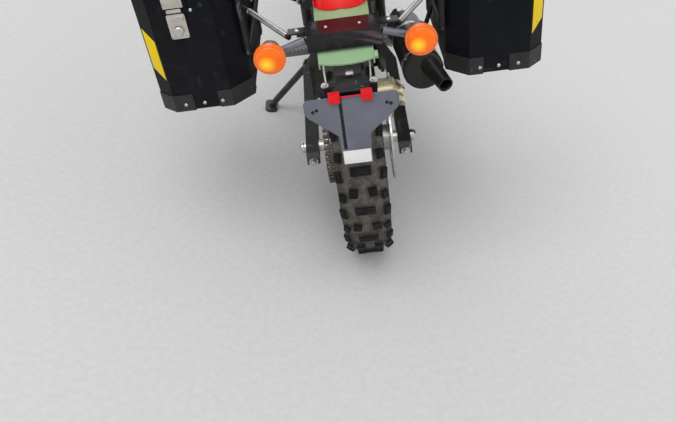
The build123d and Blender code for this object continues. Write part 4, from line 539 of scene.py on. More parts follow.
def tube(bm, points, radius, sides=12):
    """A round bar through the points, mitred at its bends, with closed ends."""
    points = [Vector(p) for p in points]
    rings = []
    for k, point in enumerate(points):
        before = (point - points[k - 1]).normalized() if k else None
        after = (points[k + 1] - point).normalized() if k + 1 < len(points) else None
        along = ((before or after) + (after or before)).normalized()
        stand = Matrix.Translation(point) @ facing(along)
        rings.append(bmesh.ops.create_circle(bm, segments=sides, radius=radius, matrix=stand)["verts"])
    for low, high in zip(rings, rings[1:]):
        edges = [e for ring in (low, high) for e in edges_of(ring) if all(v in ring for v in e.verts)]
        bmesh.ops.bridge_loops(bm, edges=edges)
    for ring in (rings[0], rings[-1]):
        bm.faces.new(ring)


def bolts(bm, places, axis, radius, high, head=button_head):
    """Like screw heads at several places, facing one way."""
    for place in places:
        head(bm, place, axis, radius, high)


def ring_places(centre, axis, radius, degrees):
    """Places round a circle that faces the axis, at the given angles."""
    turn = facing(axis)
    places = [Vector((radius * cos(radians(a)), radius * sin(radians(a)), 0)) for a in degrees]
    return [Vector(centre) + turn @ place for place in places]


def beside(centre, radius, degrees):
    """Places round a circle on the motorcycle's side: 0 degrees is forwards, 90 up."""
    x, y, z = centre
    return [Vector((x, y + radius * cos(radians(a)), z + radius * sin(radians(a)))) for a in degrees]


def rounded(outline, corner, beyond=0.0):
    """The outline with its corners rounded where they lie further out than beyond."""
    loose = bmesh.new()
    corners = [loose.verts.new((a, u, 0)) for a, u in outline]
    loose.faces.new(corners)
    bmesh.ops.bevel(loose, geom=[vert for vert in corners if abs(vert.co.x) > beyond], offset=corner,
                    offset_type="OFFSET", segments=5, profile=0.5, affect="VERTICES", material=-1)
    loose.faces.ensure_lookup_table()
    outline = [(vert.co.x, vert.co.y) for vert in loose.faces[0].verts]
    loose.free()
    return outline


def make_piece(name, bm, body, finish_name, stand=UPRIGHT, smooth=35.0, replaces=()):
    """Turns the bench's mesh into a piece that stands in the row frame and rides on its body."""
    bmesh.ops.recalc_face_normals(bm, faces=bm.faces)
    bm.transform(stand)
    mesh = bpy.data.meshes.new(name)
    bm.to_mesh(mesh)
    bm.free()
    mesh.polygons.foreach_set("use_smooth", [True] * len(mesh.polygons))
    mesh.set_sharp_from_angle(angle=radians(smooth))
    piece = bpy.data.objects.new(name, mesh)
    bpy.context.scene.collection.objects.link(piece)
    mesh.materials.append(finishes()[finish_name])
    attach(piece, body)
    if replaces:
        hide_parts(*replaces)
    return piece


def dress(material, *names):
    """Puts a finish on CAD nodes."""
    for name in names:
        node = NODES[name]
        if not node.material_slots:
            node.data.materials.append(material)
        for place in node.material_slots:
            place.link = "OBJECT"
            place.material = material


# Operators: one for each group of pieces
class MOTORCYCLE_OT_bodywork(bpy.types.Operator):
    """Finish the tank, panels, fenders, frame and boxes"""
    bl_idname = "motorcycle.bodywork"
    bl_label = "Body and frame finishes"

    def execute(self, context):
        paint = finishes()
        rows = {
            "green plastic": ("fuel_tank", "side_panels", "rear_fender", "front_fender", "headlight_cowl"),
            "frame paint": ("main_frame", "subframe", "fork_clamps", "side_stand"),
            "black steel": ("luggage_rack", "pannier_racks", "handlebar", "hand_controls"),
            "signal grey": ("rear_signals",),
            "tail bar": ("tail_bar",),
            "plate grey": ("plate_bracket",),
            "black plastic": (
                "inner_fender", "chain_guard", "mirrors", "air_box", "instruments", "front_signals"),
            "box paint": ("pannier_box_left", "pannier_box_right", "pannier_lid_left", "pannier_lid_right"),
            "corner plastic": ("pannier_corners",),
            "stainless": ("pannier_latches",),
            "arm alloy": ("swingarm", "skid_plate"),
            "cast alloy": ("engine_case", "cylinder", "fork_tubes", "foot_controls"),
            "bright steel": ("rear_axle", "front_axle", "fork_sliders", "rear_sprocket"),
            "header steel": ("exhaust_header",),
            "muffler black": ("muffler",),
            "spring": ("shock_absorber",),
            "rim alloy": ("rear_rim", "front_rim"),
            "disc steel": ("rear_disc", "front_disc"),
            "gold": ("rear_caliper", "front_caliper"),
            "chain steel": ("chain",),
            "seat vinyl": ("seat",),
            "tail lens": ("tail_light",),
            "reflector": ("plate_reflectors",),
            "lamp bowl": ("headlight",),
            "screen": ("windscreen",),
            "tyre rubber": ("rear_tyre", "front_tyre"),
        }
        for name, nodes in rows.items():
            dress(paint[name], *nodes)
        return {"FINISHED"}


LUG_ROOT = 4            # how deep a lug reaches into the carcass
FALL_POWER = 1.8        # how the tread falls towards its shoulders
CARCASS_STEPS = 120


def add_lug(bm, across, along, wide, long, high, radius, tilt, angle=0.0):
    """One lug of the tread. across and tilt place it over the width, along round the wheel, in mm."""
    turn = Matrix.Rotation(along / radius, 4, "X") @ Matrix.Translation((across, 0, radius))
    turn = turn @ Matrix.Rotation(radians(tilt), 4, "Y") @ Matrix.Rotation(radians(angle), 4, "Z")
    made = block(bm, (0, 0, 0), (wide, long, high + LUG_ROOT), top=0.84)
    dust = bm.verts.layers.float.get("dust")
    bmesh.ops.translate(bm, vec=(0, 0, (high - LUG_ROOT) / 2), verts=made)
    before = set(bm.verts) - set(made)
    soften(bm, [e for e in edges_of(made) if any(v.co.z > 0 for v in e.verts)], 0.8, segments=1)
    made = list(set(bm.verts) - before)
    for vert in made:
        vert[dust] = 1.0 - max(vert.co.z, 0.0) / high
    bmesh.ops.transform(bm, matrix=turn, verts=made)


def carcass_rows(crown, half_width, bead, rim_half, lug_high):
    """Half of a tyre's section from the crown to the bead: across, radius."""
    base = crown - lug_high
    shoulder = crown - 0.30 * half_width - lug_high * 0.72
    widest = bead + 0.45 * (shoulder - bead)
    seat = rim_half - 6.0
    shares = [k / 6 for k in range(7)]
    rows = [(share * (half_width - 7), base - (base - shoulder) * share ** FALL_POWER) for share in shares]
    rows += [
        (half_width - 2.5, shoulder - 12), (half_width, widest + 6), (half_width - 0.5, widest - 14),
        (half_width - 5, bead + 24), (seat + 3.5, bead + 15), (seat + 4.2, bead + 12.5),
        (seat + 1, bead + 11), (seat, bead), (seat - 8.5, bead), (seat - 8.5, bead + 12),
        (half_width - 10, widest), (half_width - 22, shoulder - 9),
    ]
    return rows


def make_tyre(name, body, stand, node, rows, lug_high, crown, half_width, bead, rim_half, wide, lead):
    """A knobbly tyre: a carcass with rows of lugs, a bar in one row and a pair in the next.

    Its first bar stands lead degrees behind its top.
    """
    bm = bmesh.new()
    dust = bm.verts.layers.float.new("dust")
    half = carcass_rows(crown, half_width, bead, rim_half, lug_high)
    base = crown - lug_high
    ring = half + [(0, base - 9)] + [(-x, r) for x, r in reversed(half[1:])]
    verts = [bm.verts.new((x, 0, r)) for x, r in ring]
    edges = [bm.edges.new(pair) for pair in zip(verts, verts[1:] + verts[:1])]
    bmesh.ops.spin(bm, geom=verts + edges, cent=(0, 0, 0), axis=RIGHTWARD, angle=2 * pi, steps=CARCASS_STEPS,
                   use_merge=True)
    bmesh.ops.remove_doubles(bm, verts=bm.verts, dist=0.01)
    for vert in bm.verts:
        vert[dust] = 1.0 if hypot(vert.co.y, vert.co.z) > base - 0.34 * half_width else 0.35

    def fall(across):
        """How much lower than its crown the carcass lies, that far from its middle."""
        return (across / (half_width - 7)) ** FALL_POWER * (0.30 * half_width - lug_high * 0.28)

    lugs = bmesh.new()
    lugs.verts.layers.float.new("dust")
    pitch = 2 * pi * crown / rows
    shoulder_x, pair_x = half_width * 0.77, half_width * 0.37
    pair_high = lug_high + fall(pair_x) * 0.8       # a pair stands nearly as tall as a bar
    add_lug(lugs, 0, 0, wide, pitch * 0.44, lug_high, base, 0)
    for side in BOTH:
        add_lug(lugs, side * pair_x, pitch, wide * 0.44, pitch * 0.46, pair_high, base - fall(pair_x),
                side * 4, side * 6)
    for along, out, share, angle in ((0, 2.0, 0.58, -8), (pitch, -1.0, 0.46, 8)):
        for side in BOTH:
            add_lug(lugs, side * (shoulder_x + out), along + pitch * 0.24, half_width * 0.30, pitch * share,
                    lug_high, base - fall(shoulder_x), side * 38, side * angle)
    bmesh.ops.spin(lugs, geom=lugs.verts[:] + lugs.edges[:] + lugs.faces[:], cent=(0, 0, 0), axis=RIGHTWARD,
                   angle=2 * pi * (rows - 2) / rows, steps=rows // 2 - 1, use_duplicate=True)
    bmesh.ops.transform(lugs, matrix=tilted(lead), verts=lugs.verts)
    spare = bpy.data.meshes.new("lugs")
    lugs.to_mesh(spare)
    lugs.free()
    bm.from_mesh(spare)
    bpy.data.meshes.remove(spare)
    make_piece(name, bm, body, "tyre rubber", stand, smooth=32, replaces=(node,))


REAR_TYRE = {"crown": 322.0, "half_width": 65.0, "bead": 216.0, "rim_half": 46.0, "wide": 56.0, "lead": 9.2}
FRONT_TYRE = {"crown": 348.0, "half_width": 46.0, "bead": 267.0, "rim_half": 31.0, "wide": 38.0, "lead": 0.0}


class MOTORCYCLE_OT_tyres(bpy.types.Operator):
    """Model both knobbly tyres, lug by lug"""
    bl_idname = "motorcycle.tyres"
    bl_label = "Tyres"

    def execute(self, context):
        it = look()
        make_tyre("rear_knobbly_tyre", "rear_wheel", REAR_WHEEL, "rear_tyre", it.rear_lug_rows,
                  it.lug_height, **REAR_TYRE)
        make_tyre("front_knobbly_tyre", "front_wheel", FRONT_WHEEL, "front_tyre", it.front_lug_rows,
                  it.lug_height, **FRONT_TYRE)
        return {"FINISHED"}


BOX_INNER_X, BOX_OUTER_X, BOX_REAR_Y, BOX_FRONT_Y = 241.0, 469.0, -146.0, 299.0
LATCH_X, LOCK_Z, LOW_RIVETS_Z = 372.0, 786, 590


class MOTORCYCLE_OT_boxes(bpy.types.Operator):
    """Fit the boxes' stickers, rivets and latch parts"""
    bl_idname = "motorcycle.boxes"
    bl_label = "Box fittings"

    def execute(self, context):
        bm = bmesh.new()
        slope = Vector((35, 30, 0)).normalized()
        for side in BOTH:
            middle = Vector((side * (BOX_OUTER_X - 17.5), BOX_REAR_Y + 15, 0))
            out = Vector((side * slope.y, -slope.x, 0))
            run = Vector(UPWARD).cross(out)
            outline = [(-18 * side, 661), (18 * side, 688), (18 * side, 789), (-18 * side, 762)]
            if side == LEFT:
                outline = outline[::-1]
            plate(bm, outline, middle + out * 0.05, run, UPWARD, 0.7, 0.25)
        make_piece("box_stickers", bm, "chassis", "sticker")
        bm = bmesh.new()
        for side in BOTH:
            for x in (316, 361, 408):
                button_head(bm, (side * x, BOX_REAR_Y, LOW_RIVETS_Z), BACKWARD, 5.2, 3.2)
                button_head(bm, (side * x, BOX_FRONT_Y, LOW_RIVETS_Z), FORWARD, 5.2, 3.2)
            button_head(bm, (side * 336, BOX_REAR_Y, 829), BACKWARD, 4.6, 3.0)
            for x, z in ((356, 774), (388, 774), (357, 812), (387, 812)):
                button_head(bm, (side * x, BOX_REAR_Y - 7, z), BACKWARD, 3.2, 1.8)
            for y in (-60, 40, 120, 220):
                button_head(bm, (side * BOX_OUTER_X, y, LOW_RIVETS_Z), (side, 0, 0), 5.2, 3.2)
            for y in (-20, 170):
                for z in (700, 820):
                    button_head(bm, (side * BOX_INNER_X, y, z), (-side, 0, 0), 5.2, 3.0)
        make_piece("box_rivets", bm, "chassis", "bright steel")
        for side, word in SIDES:
            bm = bmesh.new()
            for dx in (-22, 22):
                button_head(bm, (side * LATCH_X + dx, BOX_REAR_Y - 3, 893), BACKWARD, 3.4, 2.0)
            block(bm, (side * LATCH_X, BOX_REAR_Y - 5.2, 866), (46, 5, 52), bevel=1.4)
            block(bm, (side * LATCH_X, BOX_REAR_Y - 8.6, 862), (30, 3.2, 30), bevel=1.0)
            block(bm, (side * LATCH_X, BOX_REAR_Y - 6.4, 834), (34, 7, 9), bevel=1.6)
            make_piece(f"hasp_{word}", bm, f"pannier_lid_{word}", "stainless")
        bm = bmesh.new()
        for side in BOTH:
            lathe(bm, [(11.5, -5), (11.5, 1.0), (10.2, 2.2), (7.4, 2.2), (7.0, 0.9), (0, 0.9), (0, -5)],
                  (side * LATCH_X, BOX_REAR_Y - 14, LOCK_Z), BACKWARD, 28)
            block(bm, (side * LATCH_X, BOX_REAR_Y - 15.6, LOCK_Z), (2.0, 1.6, 7.0), bevel=0.3)
            block(bm, (side * LATCH_X, BOX_REAR_Y - 8.2, 815), (36, 3.4, 12), bevel=1.2)
        make_piece("lock_cylinders", bm, "chassis", "bright steel")
        return {"FINISHED"}


PLATE_TOP, PLATE_TILT = Vector((0, -436, 730)), radians(9)
ARM_LINE = ((-440, 690), (-412, 716), (-345, 728), (-318, 740.6), (-292, 752.8), (-240, 783.2))


class MOTORCYCLE_OT_tail(bpy.types.Operator):
    """Fit the turn signal lenses, label and small screws of the tail, and dark discs of painted shade at the
    bracket's ear holes
    """
    bl_idname = "motorcycle.tail"
    bl_label = "Tail fittings"

    def execute(self, context):
        bm = bmesh.new()
        rows = [(0, 18.2), (9, 17.9), (18, 16.9), (25, 15.2), (29.5, 13.0), (30.6, 11.2), (31.2, 12.2),
                (33.2, 12.4), (34.2, 11.6), (34.4, 9.5), (34.4, 1.0), (33.4, 0.2), (0, 0.2)]
        for side in BOTH:
            lathe(bm, rows, (side * REAR_SIGNAL_X, -298, 765), BACKWARD, 48)
        make_piece("rear_signal_lenses", bm, "chassis", "signal lens")
        bm = bmesh.new()
        up = Vector((0, sin(PLATE_TILT), cos(PLATE_TILT)))
        out = Vector((0, -cos(PLATE_TILT), sin(PLATE_TILT)))
        plate(bm, oblong(-29, 29, -150.5, -120.5), PLATE_TOP + out * 0.1, RIGHTWARD, up, 1.0, 0.3)
        make_piece("blank_label", bm, "chassis", "label")
        bm = bmesh.new()
        edge = [(97, 0), (97, -33), (33, -86), (31, -152)]
        slot = [(-25.5, 0), (-25.5, -117), (-19, -117), (-19, 0)]
        outline = edge + [(-a, u) for a, u in reversed(edge)] + slot
        plate(bm, rounded(outline, 10.0, beyond=60), PLATE_TOP - out * 3.0, RIGHTWARD, up, 3.0, 0.5)
        make_piece("plate_bracket_sheet", bm, "chassis", "plate grey",
                   replaces=("plate_bracket",))
        bm = bmesh.new()
        for (y, z), (next_y, next_z) in zip(ARM_LINE, ARM_LINE[1:]):
            along = Vector((0, next_y - y, next_z - z))
            under = Vector((0, along.z, -along.y)).normalized()
            middle = Vector((0, (y + next_y) / 2, (z + next_z) / 2))
            block(bm, middle + under * 1.5, (58, along.length + 2.2, 3), turn=frame_along(along.normalized()),
                  bevel=0.5)
        block(bm, (0, -372, 720), (116, 13, 5), turn=tilted(10), bevel=1.2)
        block(bm, (0, -398, 726), (44, 30, 12), turn=tilted(16), bevel=2.5)
        plate(bm, oblong(-30, -14, -122, -1), PLATE_TOP - out * 5.2, RIGHTWARD, up, 2.0, 0.4)
        make_piece("bracket_arm", bm, "chassis", "black steel")
        bm = bmesh.new()
        for side in BOTH:
            hex_head(bm, (side * 51, -372, 723), (0, -0.17, 0.98), 6.0, 5.0)
        block(bm, (3, -348, 732), (17, 15, 6), turn=tilted(12), bevel=1.5)
        tube(bm, [(-48, -366, 722), (-50, -330, 734), (-50, -312, 741)], 3.0, 10)
        tube(bm, [(46, -366, 722), (48, -330, 734), (48, -312, 741)], 2.4, 10)
        make_piece("bracket_bolts", bm, "chassis", "bright steel")
        bm = bmesh.new()
        # Dark discs of painted shade where the bracket's ears have holes.
        for side in BOTH:
            for across, low in ((79.5, -26), (71.5, -23)):
                lathe(bm, [(0, 0.5), (3.4, 0.5), (3.8, 0.1), (3.8, -0.5), (0, -0.5)],
                      PLATE_TOP + up * low + Vector((side * across, 0, 0)), out, 16)
        make_piece("ear_hole_shades", bm, "chassis", "bore")
        bm = bmesh.new()
        block(bm, (63.5, -309, 747), (9, 15, 11), turn=tilted(27), bevel=1.6)
        make_piece("fender_tab", bm, "chassis", "green plastic")
        bm = bmesh.new()
        plate(bm, oblong(-21, 21, -3, -1), PLATE_TOP + out * 0.1 + up * 2, RIGHTWARD, up, 3.0, 0.4)
        for side in BOTH:
            middle = PLATE_TOP + out * 7.2 + up + Vector((side * 33, 0, 0))
            block(bm, middle - out * 0.4, (21, 21, 1.6), turn=facing(out), bevel=0.7)
        make_piece("reflector_faces", bm, "chassis", "reflector")
        bm = bmesh.new()
        for side in BOTH:
            button_head(bm, (side * 35.96, -262, 801), UPWARD, 4.2, 2.2)
        for side in BOTH:
            button_head(bm, (side * 98, -262, 801), UPWARD, 6.0, 3.4)
            hex_head(bm, (side * 154, 0, AXLE_HIGH), (side, 0, 0), 13, 8)
            hex_head(bm, (side * 129.5, -63.3, 312.6), (0, -0.989, -0.147), 9.5, 7)
            button_head(bm, (side * 235, -108, 690), BACKWARD, 6.0, 3.4)
            button_head(bm, (side * 150, -66, 843), UPWARD, 5.0, 3.0)
        make_piece("tail_screws", bm, "chassis", "bright steel")
        bm = bmesh.new()
        for side in BOTH:
            line = [(side * 211, -122.5, 797.8), (side * 207, -125, 797), (side * 120, -261.7, 790.7)]
            tube(bm, line, 6.5, 16)
        make_piece("brace_rods", bm, "chassis", "bright steel")
        return {"FINISHED"}


SPROCKET_R, PINION_R, CHAIN_X = 106.0, 38.0, -84.0
PINION = Vector((0, 645, 400))
LINK_OUTLINE = (
    (-8, -5.6), (8, -5.6), (12.4, -3), (12.4, 3), (8, 5.6), (0, 4.2), (-8, 5.6), (-12.4, 3), (-12.4, -3),
)
LINK_THICK = 1.6
ROLLER, PIN = (4.6, 10, 10), (2.6, 8, 17)       # radius, segments, length


class MOTORCYCLE_OT_chain(bpy.types.Operator):
    """Model the drive chain, link by link"""
    bl_idname = "motorcycle.chain"
    bl_label = "Drive chain"

    def execute(self, context):
        count = look().chain_pitches // 2 * 2
        back = Vector((0, 0, AXLE_HIGH))
        along = PINION - back
        gap = along.length
        slope = atan2(along.z, along.y)
        flare = asin((SPROCKET_R - PINION_R) / gap)
        run = gap * cos(flare)
        rear_arc = SPROCKET_R * (pi + 2 * flare)
        front_arc = PINION_R * (pi - 2 * flare)
        total = 2 * run + rear_arc + front_arc

        def outward(turn):
            """Direction from a wheel's middle to its edge at that angle."""
            return Vector((0, cos(turn), sin(turn)))

        def onward(turn):
            """The chain's direction there."""
            return Vector((0, sin(turn), -cos(turn)))

        def at(distance):
            """Place that far round the loop, starting where the upper run leaves the sprocket."""
            distance %= total
            high, low = slope + pi / 2 - flare, slope - pi / 2 + flare
            if distance < run:
                return back + outward(high) * SPROCKET_R + onward(high) * distance
            distance -= run
            if distance < front_arc:
                return PINION + outward(high - distance / PINION_R) * PINION_R
            distance -= front_arc
            if distance < run:
                return PINION + outward(low) * PINION_R + onward(low) * distance
            return back + outward(low - (distance - run) / SPROCKET_R) * SPROCKET_R

        bm = bmesh.new()
        pitch = total / count
        for k in range(count):
            first, second = at(k * pitch), at((k + 1) * pitch)
            middle, turn = (first + second) / 2, frame_along((second - first).normalized())
            for side in BOTH:
                x = CHAIN_X + side * (6.9 if k % 2 else 5.0)
                matrix = Matrix.Translation(middle + Vector((x, 0, 0))) @ turn
                verts = [bm.verts.new(matrix @ Vector((-LINK_THICK / 2, y, z))) for y, z in LINK_OUTLINE]
                raised = bmesh.ops.extrude_face_region(bm, geom=[bm.faces.new(verts)])["geom"]
                moved = [item for item in raised if isinstance(item, bmesh.types.BMVert)]
                bmesh.ops.translate(bm, vec=(LINK_THICK, 0, 0), verts=moved)
            stand = Matrix.Translation(first + Vector((CHAIN_X, 0, 0))) @ Matrix.Rotation(pi / 2, 4, "Y")
            for radius, segments, long in (ROLLER, PIN):
                bmesh.ops.create_cone(bm, cap_ends=True, segments=segments, radius1=radius, radius2=radius,
                                      depth=long, matrix=stand)
        make_piece("drive_chain_links", bm, "chassis", "chain steel", replaces=("chain",))
        return {"FINISHED"}


# The seat's sections: place, height, half width at the foot, half width at the top
SEAT_ROWS = (
    (-44, 888, 96, 104), (20, 893, 101, 112), (90, 896, 104, 118), (180, 888, 108, 124), (270, 876, 110, 128),
    (370, 872, 98, 114), (470, 878, 87, 99), (535, 892, 80, 91), (584, 917, 74, 82),
)
RAIL_FRONT_Y, RAIL_FRONT_Z, RAIL_REAR_Y, RAIL_REAR_Z = 480.0, 790.0, -176.0, 818.0


def rail_height(y):
    """Height of the subframe's upper rails."""
    return RAIL_FRONT_Z + (RAIL_FRONT_Y - y) * (RAIL_REAR_Z - RAIL_FRONT_Z) / (RAIL_FRONT_Y - RAIL_REAR_Y)


class MOTORCYCLE_OT_seat(bpy.types.Operator):
    """Model the padded seat and its piping"""
    bl_idname = "motorcycle.seat"
    bl_label = "Seat"

    def execute(self, context):
        bm = bmesh.new()
        rings = []
        for y, high, half_low, half_high in SEAT_ROWS:
            low = rail_height(y) + 12.0
            half = [(half_low, low), (half_low + 1, low + 22), (half_high - 3, high - 30),
                    (half_high - 10, high - 15), (half_high - 34, high - 6)]
            section = half + [(0, high - 1.5)] + [(-x, z) for x, z in reversed(half)]
            rings.append([bm.verts.new((x, y, z)) for x, z in section])
        for first, second in zip(rings, rings[1:]):
            for a, b, c, d in zip(first, first[1:] + first[:1], second[1:] + second[:1], second):
                bm.faces.new((a, b, c, d))
        bm.faces.new(rings[0])
        bm.faces.new(rings[-1])
        seat = make_piece("seat_pad", bm, "chassis", "seat vinyl", smooth=60,
                          replaces=("seat",))
        inflate(seat, voxel=0.006, cap=0.005)
        bm = bmesh.new()
        for side in BOTH:
            line = [(side * (half_high - 1.5), y, high - 24) for y, high, _, half_high in SEAT_ROWS]
            tube(bm, line, 2.4, 8)
        make_piece("seat_piping", bm, "chassis", "black plastic")
        return {"FINISHED"}


SWELL_FRAMES = 20


def inflate(piece, voxel, cap):
    """Swells a pad with a short cloth simulation and keeps the result."""
    scene = bpy.context.scene
    bpy.ops.object.select_all(action="DESELECT")
    piece.select_set(True)
    bpy.context.view_layer.objects.active = piece
    remesh = piece.modifiers.new("Remesh", "REMESH")
    remesh.mode = "VOXEL"
    remesh.voxel_size = voxel
    remesh.use_smooth_shade = True
    bpy.ops.object.modifier_apply(modifier=remesh.name)
    smooth = piece.modifiers.new("Smooth", "SMOOTH")
    smooth.iterations = 6
    bpy.ops.object.modifier_apply(modifier=smooth.name)
    start = [v.co.copy() for v in piece.data.vertices]
    cloth = piece.modifiers.new("Cloth", "CLOTH")
    cloth.settings.use_pressure = True
    cloth.settings.uniform_pressure_force = 4.0
    cloth.settings.effector_weights.gravity = 0.0
    cloth.settings.quality = 5
    cloth.point_cache.frame_start = 1
    cloth.point_cache.frame_end = SWELL_FRAMES
    for number in range(1, SWELL_FRAMES + 1):
        scene.frame_set(number)
    bpy.ops.object.modifier_apply(modifier=cloth.name)
    scene.frame_set(1)
    for vert, old in zip(piece.data.vertices, start):
        move = vert.co - old
        if move.length > cap:
            vert.co = old + move.normalized() * cap
    finer = piece.modifiers.new("Finer", "SUBSURF")
    finer.levels = finer.render_levels = 1


RAKE = radians(28)
UP_FORK = Vector((0, -sin(RAKE), cos(RAKE)))
AHEAD_FORK = Vector((0, cos(RAKE), sin(RAKE)))
FORK_FOOT = UPRIGHT.inverted() @ FRONT_HUB - AHEAD_FORK * 64
BAR_HIGH = 816.8
LAMP_BACK_Y, LAMP_Z = 1222.6, 984.8
DIAL_X, DIAL_TICKS, TICK_STEP = 34, 25, 10
FORK_X, FORK_LEAD = 100, 38
MIRROR_R, MIRROR_HALF_FLAT, MIRROR_STEPS = 30.5, 22, 32
GRIP_RIBS, RIB_PITCH = 19, 6


def forked(x, lead, rise):
    """A point ahead of and above the foot of the steering axis."""
    return FORK_FOOT + Vector((x, 0, 0)) + AHEAD_FORK * lead + UP_FORK * rise


def by_bar(side, inwards, lead, rise):
    """A point beside the straight end of the handlebar."""
    end, bend = forked(side * 400, -42, BAR_HIGH + 62), forked(side * 170, 30, BAR_HIGH + 50)
    return end + (bend - end).normalized() * inwards + AHEAD_FORK * lead + UP_FORK * rise


